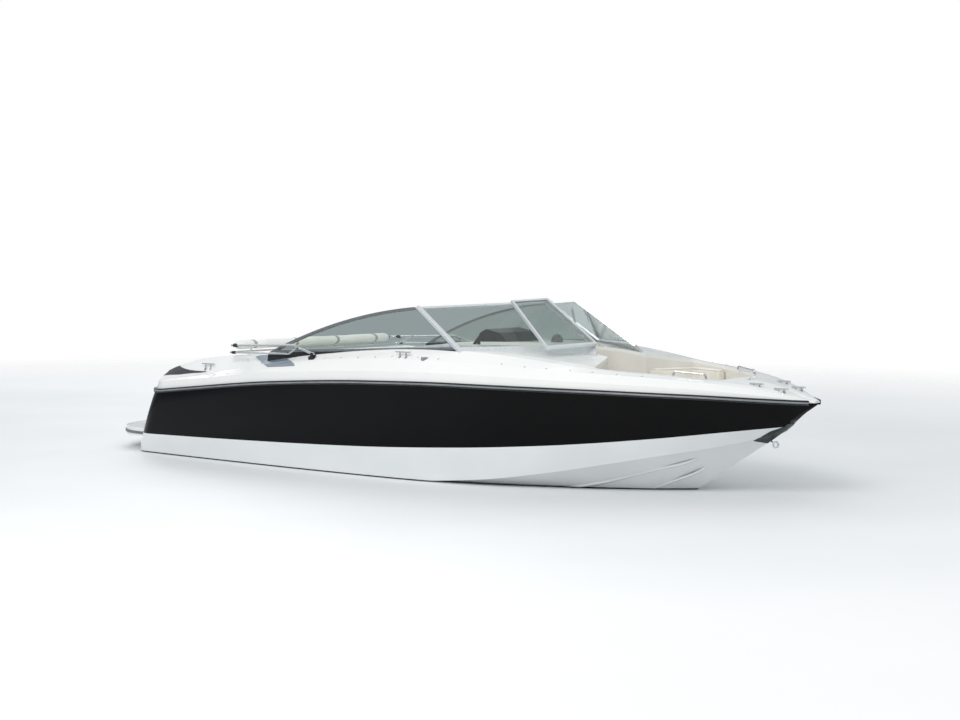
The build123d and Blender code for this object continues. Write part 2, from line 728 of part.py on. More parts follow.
def outdrive():
    x0 = STEER_X
    hub = Pos(x0, 0, TILT_Z) * Rot(90, 0, 0) * Cylinder(HUB_R, 2 * HUB_HALF)
    hub &= Pos(x0, 0, TILT_Z) * Sphere(HUB_SWING)
    upper = extrude(side() * drive_leg_face(), 78, both=True)
    upper &= block(-800, 0, -200, 200, PROP_Z + 205, 200)
    leg = extrude(side() * drive_leg_face(), 30, both=True)
    leg &= block(-800, 0, -200, 200, PROP_Z - 60, PROP_Z + 215)
    skeg = extrude(side() * drive_leg_face(), 9, both=True)
    skeg &= block(-800, 0, -200, 200, PROP_Z - 260, PROP_Z - 20)
    torpedo = rod((PROP_FORE_X + 4, 0, PROP_Z), (TORPEDO_X, 0, PROP_Z), TORPEDO_R)
    torpedo += Plane(origin=(TORPEDO_X, 0, PROP_Z), z_dir=(1, 0, 0)) * Pos(0, 0, TORPEDO_NOSE / 2) * Cone(
        TORPEDO_R, TORPEDO_TIP_R, TORPEDO_NOSE)
    plate = level(PROP_Z + 208) * face_of([(-640, -88), (-600, -112), (-360, -112), (-285, -40),
                                           (-285, 40), (-360, 112), (-600, 112), (-640, 88)])
    plate = extrude(plate, 12)
    ram_bar = rod((RAM_EYE[0], -RAM_Y - 14, RAM_EYE[1]), (RAM_EYE[0], RAM_Y + 14, RAM_EYE[1]), RAM_PIN_R)
    body = hub + upper + leg + skeg + torpedo + plate + ram_bar
    body -= rod((x0, -HUB_HALF - 5, TILT_Z), (x0, HUB_HALF + 5, TILT_Z), TILT_PIN_R + RUNNING)
    shaft = rod((PROP_AFT_X + 10, 0, PROP_Z), (PROP_FORE_X + 60, 0, PROP_Z), 14)
    return body + shaft


def blade_section(radius, chord, thick, rake):
    # lens section across the blade at one radius, pitched about the shaft
    pitch = atan2(PROP_PITCH, 2 * pi * radius)
    along = Vector(sin(pitch), cos(pitch), 0)
    plane = Plane(origin=((PROP_AFT_X + PROP_FORE_X) / 2 + rake, 0, PROP_Z + radius),
                  x_dir=along, z_dir=(0, 0, 1))
    h = chord / 2
    return plane * make_face([ThreePointArc((-h, 0), (0, thick / 2), (h, 0)),
                              ThreePointArc((h, 0), (0, -thick / 2), (-h, 0))])


def propeller():
    hub = rod((PROP_AFT_X, 0, PROP_Z), (PROP_FORE_X, 0, PROP_Z), PROP_HUB_R)
    hub = fillet(hub.edges().sort_by(Axis.X)[:1], 12)
    # columns: radius, chord, thickness, rake
    sections = [(40, 118, 13, 0), (90, 168, 9, -6), (140, 160, 6, -14), (PROP_R, 70, 2.5, -24)]
    blade = loft([blade_section(*row) for row in sections])
    shape = hub
    for index in range(BLADES):
        shape += Pos(0, 0, PROP_Z) * Rot(360 / BLADES * index, 0, 0) * Pos(0, 0, -PROP_Z) * blade
    shape -= rod((PROP_AFT_X - 1, 0, PROP_Z), (PROP_FORE_X + 1, 0, PROP_Z), 14 + RUNNING)
    return shape


def trim_rams():
    low = Vector(RAM_LOW[0], RAM_Y, RAM_LOW[1])
    eye = Vector(RAM_EYE[0], RAM_Y, RAM_EYE[1])
    axis = (eye - low).normalized()
    barrel_end = low + axis * ((eye - low).length - 46)
    barrel = rod(low + axis * 8, barrel_end, 20)
    barrel += Pos(low) * Rot(90, 0, 0) * Cylinder(20, 22)
    barrel -= rod(low - (0, 30, 0), low + (0, 30, 0), RAM_PIN_R + RUNNING)
    barrel -= rod(low + axis * RAM_DEPTH, barrel_end + axis * 5, 10 + RUNNING)
    piston = rod(low + axis * 34, eye - axis * 8, 10)
    # the eye is wide enough for the drift of its centre from the bar
    eye_r = RAM_PIN_R + RAM_DRIFT
    piston += Pos(eye) * Rot(90, 0, 0) * Cylinder(eye_r + RAM_EYE_WALL, 22)
    piston -= rod(eye - (0, 30, 0), eye + (0, 30, 0), eye_r)
    return port_starboard(barrel), port_starboard(piston)


# Stern

def platform_plan(shift=0.0):
    half, aft = PLATFORM_HALF - shift, PLATFORM_AFT_X + shift
    fore = 260.0
    return make_face([Line((fore, -half), (fore, half)), Line((fore, half), (-60, half)),
                      ThreePointArc((-60, half), (-430 + shift, half - 130), (aft + 60, half - 480)),
                      ThreePointArc((aft + 60, half - 480), (aft, 0), (aft + 60, 480 - half)),
                      ThreePointArc((aft + 60, 480 - half), (-430 + shift, 130 - half), (-60, -half)),
                      Line((-60, -half), (fore, -half))])


def swim_platform(hull_full):
    top = extrude(level(PLATFORM_TOP) * platform_plan(), PLATFORM_EDGE_LOW - PLATFORM_TOP)
    hollow = extrude(level(PLATFORM_EDGE_LOW) * platform_plan(PLATFORM_WALL),
                     PLATFORM_TOP - PLATFORM_PLATE - PLATFORM_EDGE_LOW)
    body = (top - hollow) - hull_full
    trim = extrude(level(PLATFORM_EDGE_LOW + 22) * platform_plan(-8), 24)
    trim -= extrude(level(PLATFORM_EDGE_LOW) * platform_plan(), 100)
    trim = (trim & block(-900, 0, -1200, 1200, 0, 400)) - hull_full
    return body, trim


def boarding_ladder():
    # three-step telescoping ladder stowed flat under the platform, port of the drive
    z = PLATFORM_TOP - PLATFORM_PLATE - SEAT_GAP
    ladder = Part()
    for y in (LADDER_Y - LADDER_HALF, LADDER_Y + LADDER_HALF):
        ladder += block(LADDER_AFT_X, LADDER_FORE_X, y - 14, y + 14, z - 26, z)
    for x in LADDER_STEPS:
        ladder += block(x - 18, x + 18, LADDER_Y - LADDER_HALF, LADDER_Y + LADDER_HALF, z - 24, z - 6)
    return ladder


# Fittings

def deck_cleat(x, y, length, height):
    z = deck_z(x, y)
    bar = rod((x - length / 2, y, z + height), (x + length / 2, y, z + height), 8)
    bar += Pos(x - length / 2, y, z + height) * Sphere(8) + Pos(x + length / 2, y, z + height) * Sphere(8)
    legs = Part()
    for dx in (-length * 0.22, length * 0.22):
        legs += rod((x + dx, y, z - 30), (x + dx, y, z + height), 7)
        legs += rod((x + dx, y, z - 30), (x + dx, y, z + 4), 15)
    return bar + legs


def cleats(deck_full):
    # columns: x, y, length, height
    table = [(1082, 1095, 165, 48), (3679, 1128, 165, 46), (6720, 205, 120, 20), (6905, 132, 120, 20)]
    shape = Part()
    for x, y, length, height in table:
        shape += port_starboard(deck_cleat(x, y, length, height) - deck_full)
    return shape


def bow_eye(hull_full):
    # forged eye through the stem, its hole across the boat
    x, z = BOW_EYE
    plate = rod((x, -EYE_WIDTH / 2, z), (x, EYE_WIDTH / 2, z), EYE_R)
    shank = rod((x - 70, 0, z + 45), (x - 4, 0, z + 2), EYE_WIDTH / 2 - 1)
    bore = rod((x, -EYE_WIDTH, z), (x, EYE_WIDTH, z), EYE_BORE_R)
    return ((plate + shank) - bore) - hull_full


def grab_rails(deck_full):
    shape = Part()
    for end in (-1, 1):
        points = []
        for x, y, lift in ((6090, 478, -16), (6100, 474, 34), (6330, 364, 34), (6340, 358, -16)):
            points.append((x, end * y, deck_z(x, y) + lift))
        shape += tube(points, 9, 20) - deck_full
    return shape


def stern_eyes(hull_full):
    shape = Part()
    for y in (-760, 760):
        x = transom_x(y, 370) - 24
        shape += tube([(x + 60, y - 30, 370), (x - 10, y - 30, 370), (x - 10, y + 30, 370),
                       (x + 60, y + 30, 370)], 8, 22) - hull_full
    return shape


def stem_guard(hull_full):
    region = side() * face_of([(6570, 452), (6850, 586), (6980, 640), (6800, 400), (6700, 360)])
    region = extrude(region, 400, both=True)
    return (hull_loft(-4.0, -5.0) & region) - hull_full


def skin_patch(deck_grown, deck_full, outline, inner_y):
    region = extrude(side() * face_of(outline), 1500, both=True)
    wide = block(-500, 7500, -1500, 1500, 0, 1600) - block(-500, 7500, -inner_y, inner_y, 0, 1600)
    return ((deck_grown & region) & wide) - deck_full


def side_y(row, z):
    # half breadth of a topside section at a height near the sheer
    rise = ThreePointArc(*side_points(row))
    low, high = 0.0, 1.0
    for _ in range(30):
        mid = (low + high) / 2
        if (rise @ mid).Y < z:
            low = mid
        else:
            high = mid
    return (rise @ low).X


def rail_section(row, deck_row):
    # from the hull's side out to the rail's face and back to the deck's side, a hair off both
    rail_y, rail_z, side_rise = row[RAIL_Y], row[RAIL_Z], deck_row[1]
    slope = min(DECK_TUMBLE, side_rise) / (side_rise + SHEER_OVERLAP)
    low_y = side_y(row, rail_z - RAIL_LOW)
    mid_y = max(side_y(row, rail_z), rail_y - slope * SHEER_OVERLAP)
    high_y = max(side_y(row, rail_z + RAIL_HIGH), rail_y - slope * (SHEER_OVERLAP + RAIL_HIGH))
    out = max(rail_y, mid_y + RAIL_SEAT) + RAIL_DEPTH
    return at(row[STATION_X]) * face_of([
        (low_y + RAIL_SEAT, rail_z - RAIL_LOW), (out, rail_z - RAIL_LOW), (out, rail_z + RAIL_HIGH),
        (high_y + RAIL_SEAT, rail_z + RAIL_HIGH), (mid_y + RAIL_SEAT, rail_z)])


def transom_rail():
    # the rail carried round the transom and its two corners
    half = TRANSOM_HALF + RAIL_DEPTH
    line = [(row[0], row[RAIL_Z]) for row in HULL_ROWS if row[0] < RAIL_STERN_X]
    low = [(x, z - RAIL_LOW + RAIL_STEP) for x, z in line]
    high = [(x, z + RAIL_HIGH - RAIL_STEP) for x, z in reversed(line)]
    slab = extrude(side() * face_of(low + high), half, both=True)
    return (stern_keep(-RAIL_DEPTH) - stern_keep(-RAIL_SEAT)) & slab


def rub_rail():
    # a band proud of the hull round the sheer and the transom, with a cap over the stem
    band = loft([rail_section(row, deck_row) for row, deck_row in zip(HULL_ROWS, DECK_ROWS)])
    x, half, z = STATIONS[-1][:3]
    side_half = half + RAIL_DEPTH
    nose = block(x - RAIL_NOSE_LAP, RAIL_NOSE_X, -side_half, side_half,
                 z - RAIL_LOW + RAIL_STEP, z + RAIL_HIGH - RAIL_STEP)
    nose = fillet(nose.edges().filter_by(Axis.Z).sort_by(Axis.X)[-2:], RAIL_DEPTH)
    nose -= block(x - RAIL_NOSE_LAP, x + RAIL_SEAT, -half - 2, half + 2, z - RAIL_LOW, z + RAIL_HIGH)
    return port_starboard(band & stern_keep(-RAIL_DEPTH)) + nose + transom_rail()


# Furniture

def bucket_seat(y):
    # swivelling bucket: pan, back and arm wings in one upholstered moulding
    z, x, half, wing = SOLE_Z, SEAT_X, 232.0, 32.0
    pan = [(x - 205, z + 300), (x + 190, z + 300), (x + 205, z + 420), (x - 80, z + 400),
           (x - 150, z + 820), (x - 212, z + 820)]
    shell = extrude(side(y) * face_of(pan), half, both=True)
    shell = fillet(shell.edges().filter_by(lambda e: abs(abs(e.center().Y - y) - half) < 1), 26)
    seat = shell + Pos(x, y, z + 285) * Cylinder(120, 30)
    for end in (-1, 1):
        arm = side(y + end * half) * face_of([(x - 200, z + 320), (x + 110, z + 320), (x + 60, z + 540),
                                              (x - 175, z + 640)])
        seat += extrude(arm, wing, both=True)
    return seat - rod((x, y, z + 200), (x, y, z + 296), 20 + RUNNING)


def pedestal(y):
    x = SEAT_X
    base = Pos(x, y, SOLE_Z + 6) * Cylinder(140, 12)
    column = rod((x, y, SOLE_Z), (x, y, SOLE_Z + 264), 44)
    pin = rod((x, y, SOLE_Z + 200), (x, y, SOLE_Z + 292), 20)
    return base + column + pin


def rear_bench():
    half = 900.0
    base = block(COCKPIT_AFT_X + 6, 2360, -half, half, SOLE_Z + SEAT_GAP, 520)
    base = fillet(base.edges().filter_by(Axis.Z), 40)
    return base


def rear_cushions():
    half = 896.0
    seat = soft_block(2006, 2370, -half, half, 520 + SEAT_GAP, 620, 28)
    back = soft_block(COCKPIT_AFT_X + 8, 2000, -half, half, 520 + SEAT_GAP, 985, 34)
    return seat + back


def bow_cushions():
    fore = BOW_FORE_X
    prism = extrude(level(BOW_BENCH_Z + SEAT_GAP) * offset(bow_plan(), -4), 80)
    walkway = block(BOW_AFT_X - 50, BOW_WELL_FORE_X + 6, -WALK_HALF - 4, WALK_HALF + 4, 500, 800)
    seats = prism - walkway
    return fillet(seats.edges().filter_by(lambda e: e.center().Z > BOW_BENCH_Z + 79), 16)


def bow_backrests():
    # side bolsters along the coaming, above the bench
    inner = offset(bow_plan(), -4)
    ring = inner - offset(bow_plan(), -95)
    prism = extrude(level(BOW_BENCH_Z + 81) * ring, 300)
    keep_area = block(5290, 5880, WALK_HALF + 20, 1100, 500, 1100)
    return port_starboard(prism & keep_area)


def helm_dash(deck_full):
    profile = side(560) * face_of([(3352, 800), (3262, 905), (3248, 1010), (3318, 1225), (3400, 1262),
                                   (3560, 1232), (3700, 1120), (3700, 1000), (3352, 1000)])
    pod = extrude(profile, 250, both=True)
    ahead = block(COCKPIT_FORE_X - SEAT_GAP, 4000, -1200, 1200, 600, 1500)
    pod = (pod - (deck_full & ahead)) - (ahead & block(3000, 4000, 0, 1200, 600, 1000))
    axis = Vector(-cos(radians(WHEEL_TILT)), 0, sin(radians(WHEEL_TILT)))
    centre = Vector(*WHEEL_CENTRE)
    column = rod(centre - axis * 170, centre - axis * 24, 26) + rod(centre - axis * 60, centre + axis * 8, 10)
    return pod + column


def steering_wheel():
    axis = Vector(-cos(radians(WHEEL_TILT)), 0, sin(radians(WHEEL_TILT)))
    plane = Plane(origin=WHEEL_CENTRE, x_dir=(0, 1, 0), z_dir=axis)
    rim = Torus(WHEEL_R, 15)
    hub = Cylinder(42, 36)
    wheel = rim + hub
    for angle in (90, 210, 330):
        wheel += Rot(0, 0, angle) * Pos(WHEEL_R / 2 + 10, 0, 0) * Box(WHEEL_R - 20, 34, 10)
    wheel -= Pos(0, 0, -15) * Cylinder(10 + RUNNING, 50)
    return plane * wheel


def passenger_dash(deck_full):
    x = GLOVE_FACE_X
    profile = side(-560) * face_of([(x + 62, 700), (x, 760), (x, 1080), (x + 62, 1122)])
    body = extrude(profile, 250, both=True)
    pocket = block(3200, 3342, -560 - 180, -560 + 180, 820, 1010)
    ahead = block(COCKPIT_FORE_X - SEAT_GAP, 4000, -1200, 1200, 600, 1500)
    return (body - pocket) - (deck_full & ahead)


def glovebox_lid():
    lid = block(GLOVE_FACE_X - 8, GLOVE_FACE_X - SEAT_GAP, -560 - 176, -560 + 176, GLOVE_LOW_Z + 4, 1006)
    pin_x, pin_z = GLOVE_FACE_X - SMALL_KNUCKLE_R - SEAT_GAP, GLOVE_LOW_Z - 3
    origins = [(pin_x, y, pin_z) for y in (-680, -440)]
    still, swung = hinge_pair(origins, (0, -1, 0), (-1, 0, 0), 50, 20, SMALL_KNUCKLE_R, SMALL_PIN_R)
    return lid + swung, still


def fuel_cap(deck_full):
    x, y = 3930.0, -1118.0
    z = deck_z(x, y)
    return rod((x, y, z - 40), (x, y, z + 7), 38) - deck_full


def compass(deck_full):
    x, y = 4096.0, 500.0
    z = deck_z(x, y)
    return (Pos(x, y, z + 22) * Sphere(52) + rod((x, y, z - 30), (x, y, z + 16), 56)) - deck_full


def walkway_brace():
    # inverted U behind the port panel's inner post
    return tube([(4440, 330, 1340), (4395, 330, 1490), (4455, 262, 1505), (4500, 262, 1345)], 7, 26)


def throttle():
    box = soft_block(2950, 3080, COCKPIT_HALF - 62, COCKPIT_HALF - SEAT_GAP, 860, 960, 14)
    lever = rod((3015, COCKPIT_HALF - 70, 930), (3050, COCKPIT_HALF - 75, 1050), 9)
    knob = Pos(3050, COCKPIT_HALF - 75, 1055) * Sphere(20)
    foot = rod((3015, COCKPIT_HALF - 80, 930), (3015, COCKPIT_HALF - 40, 930), 16)
    return box + lever + knob + foot


def engine():
    return soft_block(300, 1150, -340, 340, -190, 520, 50)


# Bimini

def bimini_main():
    px, pz = BIMINI_PIVOT
    x, z, y = BIMINI_AFT_X, 1100.0, BIMINI_Y
    points = [(px, -y, pz), (2290, -y, 1132), (x, -y, z), (x, y, z), (2290, y, 1132), (px, y, pz)]
    path = FilletPolyline(*points, radius=[90, 60, 60, 90])
    section = Plane(origin=path @ 0, z_dir=path % 0) * Circle(BIMINI_TUBE_R)
    bow = sweep(section, path=path)
    for end in (-1, 1):
        bow += rod((px, end * (y - 12), pz), (px, end * (y + 12), pz), 15)
        bow -= rod((px, end * (y - 30), pz), (px, end * (y + 30), pz), 4 + RUNNING)
    sx, sz = SECOND_PIVOT
    for end in (-1, 1):
        bow += rod((sx, end * (y + 8), sz + 6), (sx, end * (SECOND_Y + 14), sz + 6), 4)
        bow += rod((sx, end * (y - 9), sz + 6), (sx, end * (y + 9), sz + 6), 14)
    return bow


def bimini_second():
    sx, sz = SECOND_PIVOT
    y, x, z = SECOND_Y, BIMINI_AFT_X + 14, 1036.0
    pz = sz + 6
    points = [(sx, -y, pz), (2260, -y, 1052), (x, -y, z), (x, y, z), (2260, y, 1052), (sx, y, pz)]
    path = FilletPolyline(*points, radius=[60, 50, 50, 60])
    section = Plane(origin=path @ 0, z_dir=path % 0) * Circle(SECOND_TUBE_R)
    bow = sweep(section, path=path)
    for end in (-1, 1):
        bow += rod((sx, end * (y - 11), pz), (sx, end * (y + 11), pz), 12)
        bow -= rod((sx, end * (y - 30), pz), (sx, end * (y + 30), pz), 4 + RUNNING)
    return bow


def bimini_roll():
    half = BIMINI_Y - 76
    section = Plane(origin=(BIMINI_AFT_X, -half, 1101), x_dir=(1, 0, 0), z_dir=(0, 1, 0)) * Ellipse(64, 46)
    roll = extrude(section, 2 * half)
    return roll - rod((BIMINI_AFT_X, -half - 5, 1100), (BIMINI_AFT_X, half + 5, 1100), BIMINI_TUBE_R + 0.2)


def bimini_mounts(deck_full):
    px, pz = BIMINI_PIVOT
    shape = Part()
    for end in (-1, 1):
        for dy in (-19, 19):
            y = end * BIMINI_Y + dy
            shape += block(px - 15, px + 15, y - 4, y + 4, 960, pz) + rod((px, y - 4, pz), (px, y + 4, pz), 15)
        shape += rod((px, end * BIMINI_Y - 23, pz), (px, end * BIMINI_Y + 23, pz), 4)
        shape += block(px - 34, px + 34, end * BIMINI_Y - 26, end * BIMINI_Y + 26, 960, 1038)
    return shape - deck_full


def bimini_struts():
    shape = Part()
    for end in (-1, 1):
        top = (1726, end * 1098, 1113)
        foot = (1566, end * 1015, 1026)
        shape += rod(top, foot, 7) + Pos(*foot) * Sphere(9)
        shape += rod((1726, end * 1092, 1113), (1726, end * 1108, 1113), 11)
    return shape


def engine_vents(thin, deck_full):
    outline = [(250, 740), (560, 850), (1020, 832), (900, 900), (560, 905)]
    return skin_patch(thin, deck_full, outline, VENT_Y)


def accent_panels(thin, deck_full, frame):
    outline = [(1770, 880), (2380, 1000), (2380, 1100), (1700, 1100)]
    return skin_patch(thin, deck_full, outline, ACCENT_Y) - frame


def save_all(shapes):
    for name, shape in shapes.items():
        save(shape, name)


def build_lids(skin, deck_full):
    hatch_still, hatch_swung = hatch_hinges(deck_full)
    anchor_still, anchor_swung = anchor_hinges(deck_full)
    locker, lid, locker_still = ski_locker()
    glove, glove_still = glovebox_lid()
    save_all({
        "engine_hatch": (skin & hatch_prism()) + hatch_swung,
        "anchor_lid": (skin & anchor_prism()) + anchor_swung,
        "ski_locker_lid": lid, "glovebox_lid": glove,
        "lid_hinges": hatch_still + anchor_still + locker_still + glove_still})
    return locker, hatch_swung


def build_pads(hatch_swung):
    grown, seat = deck_loft(PAD_THICK), deck_loft(SEAT_GAP)
    fore_area = block(FORE_PAD_AFT_X, FORE_PAD_FORE_X, 20 - HATCH_HALF, HATCH_HALF - 20, 0, 1500)
    save_all({"sun_pad": ((grown & hatch_prism(-20)) - seat) - hatch_swung,
              "fore_pad": (grown & fore_area) - seat})


def build_windshield(deck_full):
    frame, glass = windshield(deck_full)
    door, door_glass, door_still, hinge_plane = windshield_door()
    axis = Axis(hinge_plane.origin, hinge_plane.x_dir)
    frame = port_starboard(frame) + door_still
    save_all({"windshield_frame": frame, "windshield_glass": port_starboard(glass),
              "windshield_door": door.rotate(axis, -DOOR_OPEN),
              "windshield_door_glass": door_glass.rotate(axis, -DOOR_OPEN),
              "walkway_brace": walkway_brace()})
    return frame


def build_stern(hull_full):
    barrels, rods = trim_rams()
    platform, trim = swim_platform(hull_full)
    save_all({"transom_housing": transom_housing(hull_full), "gimbal_ring": gimbal_ring(),
              "outdrive": outdrive(), "propeller": propeller(), "trim_barrels": barrels,
              "trim_rods": rods, "swim_platform": platform, "platform_trim": trim,
              "boarding_ladder": boarding_ladder(), "stern_eyes": stern_eyes(hull_full)})


def build_fittings(hull_full, deck_full, frame):
    thin = deck_loft(3.0)
    guard = stem_guard(hull_full)
    save_all({"rub_rail": rub_rail(), "cleats": cleats(deck_full),
              "stem_guard": guard, "bow_eye": bow_eye(hull_full) - guard,
              "grab_rails": grab_rails(deck_full), "fuel_cap": fuel_cap(deck_full),
              "compass": compass(deck_full), "engine_vents": engine_vents(thin, deck_full),
              "accent_panels": accent_panels(thin, deck_full, frame)})


def build_furniture(deck_full):
    save_all({"helm_seat": bucket_seat(SEAT_Y), "passenger_seat": bucket_seat(-SEAT_Y),
              "seat_pedestals": pedestal(SEAT_Y) + pedestal(-SEAT_Y), "rear_bench": rear_bench(),
              "rear_cushions": rear_cushions(), "bow_cushions": bow_cushions(),
              "bow_backrests": bow_backrests(), "helm_dash": helm_dash(deck_full),
              "steering_wheel": steering_wheel(), "passenger_dash": passenger_dash(deck_full),
              "throttle_control": throttle(), "engine": engine()})


def build_bimini(deck_full):
    save_all({"bimini_main_bow": bimini_main(), "bimini_second_bow": bimini_second(),
              "bimini_canvas": bimini_roll(), "bimini_mounts": bimini_mounts(deck_full),
              "bimini_struts": bimini_struts()})


def build():
    os.makedirs(PARTS, exist_ok=True)
    keep, keep_inside = stern_keep(), inside_keep()
    sheer = under_line(sheer_line())
    hull_full, bottom, sides = hull(keep, keep_inside, sheer)
    deck_full = (deck_loft() & keep) - sheer
    deck_inside = deck_loft(-DECK_WALL, DECK_WALL) & keep_inside
    deck_room = deck_inside + (hull_loft(HULL_WALL, BOTTOM_WALL) & keep_inside & sheer)
    skin = deck_full - deck_inside
    deck = skin - openings() - hatch_prism(LID_GAP) - anchor_prism(LID_GAP)
    save_all({"hull_bottom": bottom, "hull_topsides": sides, "deck": deck,
              "spray_strakes": spray_strakes(hull_full, keep)})
    locker, hatch_swung = build_lids(skin, deck_full)
    build_pads(hatch_swung)
    cockpit, bow = liners(deck_room)
    save_all({"cockpit_liner": cockpit - locker, "bow_liner": bow})
    frame = build_windshield(deck_full)
    build_stern(hull_full)
    build_fittings(hull_full, deck_full, frame)
    build_furniture(deck_full)
    build_bimini(deck_full)


build()
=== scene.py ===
import math

import bmesh
import bpy
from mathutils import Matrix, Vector
from mathutils.bvhtree import BVHTree
from mathutils.kdtree import KDTree


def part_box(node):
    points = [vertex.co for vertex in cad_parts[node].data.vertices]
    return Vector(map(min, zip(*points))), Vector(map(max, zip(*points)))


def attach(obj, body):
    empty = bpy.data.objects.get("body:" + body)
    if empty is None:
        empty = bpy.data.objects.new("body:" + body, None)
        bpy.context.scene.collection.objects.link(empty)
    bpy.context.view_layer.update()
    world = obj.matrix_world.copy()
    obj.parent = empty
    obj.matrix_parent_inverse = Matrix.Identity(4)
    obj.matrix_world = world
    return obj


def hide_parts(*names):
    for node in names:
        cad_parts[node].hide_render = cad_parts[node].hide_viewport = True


bl_info = {
    "name": "Open-bow runabout",
    "version": (1, 0, 0),
    "blender": (4, 5, 0),
    "location": "3D View > Sidebar > Runabout",
    "description": "Builds the visible model of an open-bow sterndrive runabout around its CAD frame",
    "category": "Add Mesh",
}

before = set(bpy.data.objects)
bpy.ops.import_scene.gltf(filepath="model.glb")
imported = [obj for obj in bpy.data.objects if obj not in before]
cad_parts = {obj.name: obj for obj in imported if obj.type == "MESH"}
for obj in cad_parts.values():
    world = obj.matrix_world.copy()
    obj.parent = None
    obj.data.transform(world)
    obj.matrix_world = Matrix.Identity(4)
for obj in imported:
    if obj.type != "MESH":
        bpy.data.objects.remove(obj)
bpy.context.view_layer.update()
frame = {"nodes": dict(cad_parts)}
MM = 0.001

# Hull sections in millimetres, as in the CAD
# columns: station x, rail y, rail z, keel z, chine y, chine z, chine flat, side bulge
STATIONS = [
    (-260, 1190, 545, -455, 1075, -62, 48, 34), (900, 1240, 668, -455, 1110, -55, 48, 34),
    (2200, 1277, 788, -455, 1120, -38, 46, 32), (3400, 1280, 850, -455, 1095, -8, 44, 28),
    (4400, 1244, 870, -446, 1000, 58, 40, 22), (5100, 1140, 868, -395, 838, 158, 34, 16),
    (5600, 998, 862, -243, 680, 252, 28, 12), (6050, 808, 850, 27, 468, 342, 22, 9),
    (6450, 588, 835, 283, 225, 425, 16, 7), (6800, 350, 815, 508, 70, 530, 10, 5),
    (7040, 165, 801, 695, 30, 708, 6, 4), (7165, 45, 794, 778, 12, 783, 2, 1),
]
# Where the black gives way to the white band. Columns: x, z
BOOT_LINE = [(-400, 178), (1750, 226), (3200, 270), (4260, 324), (5160, 388), (5980, 472),
             (6560, 546), (7300, 640)]
SHEER_OVERLAP = 40.0
RAIL_STANDOFF = 0.8
TIP_X = 7165.0
TRANSOM_KNUCKLE_Z = 40.0
TRANSOM_LEAN = 0.50
TRANSOM_CROWN = 110.0
CORNER_R = 240.0
CORNER_Y = 975.0
BOTTOM_AFT_HALF = 1124.0
# Aft of RUN_X the hull's rows turn to follow the raked transom, in so many steps each
RUN_X = 900
RUN_STEPS = 12
# First guess of the corner's place, from which each point settles in five rounds
CORNER_GUESS = 150
CORNER_STEPS = 10
TRANSOM_STEPS = 12
FOOT_STEPS = 3
# Steps of a section's stretches, and the points that the topsides have under the flare
BOTTOM_STEPS = 10
FLAT_STEPS = 2
BAND_STEPS = 6
SIDE_STEPS = 18
UNDER_FLARE = 5
HELM_Y = 560.0
# The windshield's corner post leans aft by POST_RUN of its height from POST_REACH at the waterline
POST_RUN = 1.515
POST_REACH = 5.960
# The foot of the windshield's side panels rises forward from WING_FOOT at the transom
WING_RISE = 0.0464
WING_FOOT = 0.9565


# Tables and sections

def slope_at(xs, ys, k):
    """Slope of a faired column at its station k: never past its neighbours' own slopes."""
    if k in (0, len(xs) - 1):
        k = min(k, len(xs) - 2)
        return (ys[k + 1] - ys[k]) / (xs[k + 1] - xs[k])
    before, after = xs[k] - xs[k - 1], xs[k + 1] - xs[k]
    d0, d1 = (ys[k] - ys[k - 1]) / before, (ys[k + 1] - ys[k]) / after
    if d0 * d1 <= 0:
        return 0.0
    return 3 * (before + after) / ((2 * after + before) / d0 + (after + 2 * before) / d1)


def faired(rows, x):
    """A table's row at x, every column faired between its stations."""
    xs = [row[0] for row in rows]
    x = min(max(x, xs[0]), xs[-1])
    k = max(i for i in range(len(xs) - 1) if i == 0 or xs[i] <= x)
    span = xs[k + 1] - xs[k]
    t = (x - xs[k]) / span
    h1 = t * t * (3 - 2 * t)
    out = [x]
    for column in list(zip(*rows))[1:]:
        m0, m1 = slope_at(xs, column, k) * span, slope_at(xs, column, k + 1) * span
        out.append(column[k] * (1 - h1) + column[k + 1] * h1 + m0 * t * (1 - t) ** 2 - m1 * t * t * (1 - t))
    return out


def arc_points(p, m, q, count):
    """Points on the circle through p, m and q, from p to q."""
    ax, ay, bx, by, cx, cy = *p, *m, *q
    d = 2 * (ax * (by - cy) + bx * (cy - ay) + cx * (ay - by))
    if abs(d) < 1e-6:
        return [(ax + (cx - ax) * i / count, ay + (cy - ay) * i / count) for i in range(count + 1)]
    a2, b2, c2 = ax * ax + ay * ay, bx * bx + by * by, cx * cx + cy * cy
    ox = (a2 * (by - cy) + b2 * (cy - ay) + c2 * (ay - by)) / d
    oy = (a2 * (cx - bx) + b2 * (ax - cx) + c2 * (bx - ax)) / d
    r = math.hypot(ax - ox, ay - oy)
    a0, a1 = math.atan2(ay - oy, ax - ox), math.atan2(cy - oy, cx - ox)
    while a1 - a0 > math.pi:
        a1 -= 2 * math.pi
    while a1 - a0 < -math.pi:
        a1 += 2 * math.pi
    return [(ox + r * math.cos(a0 + (a1 - a0) * i / count), oy + r * math.sin(a0 + (a1 - a0) * i / count))
            for i in range(count + 1)]


def walk(path, start, stop, count):
    """A path's stretch between two of its lengths, in even steps."""
    lengths = [0.0]
    for p, q in zip(path, path[1:]):
        lengths.append(lengths[-1] + math.dist(p, q))
    out = []
    for i in range(count + 1):
        want = start + (stop - start) * i / count
        k = 0
        while k < len(path) - 2 and lengths[k + 1] < want:
            k += 1
        step = lengths[k + 1] - lengths[k]
        t = 0.0 if step < 1e-9 else min(1.0, max(0.0, (want - lengths[k]) / step))
        out.append(tuple(a + (b - a) * t for a, b in zip(path[k], path[k + 1])))
    return out


def path_length(path):
    return sum(math.dist(p, q) for p, q in zip(path, path[1:]))


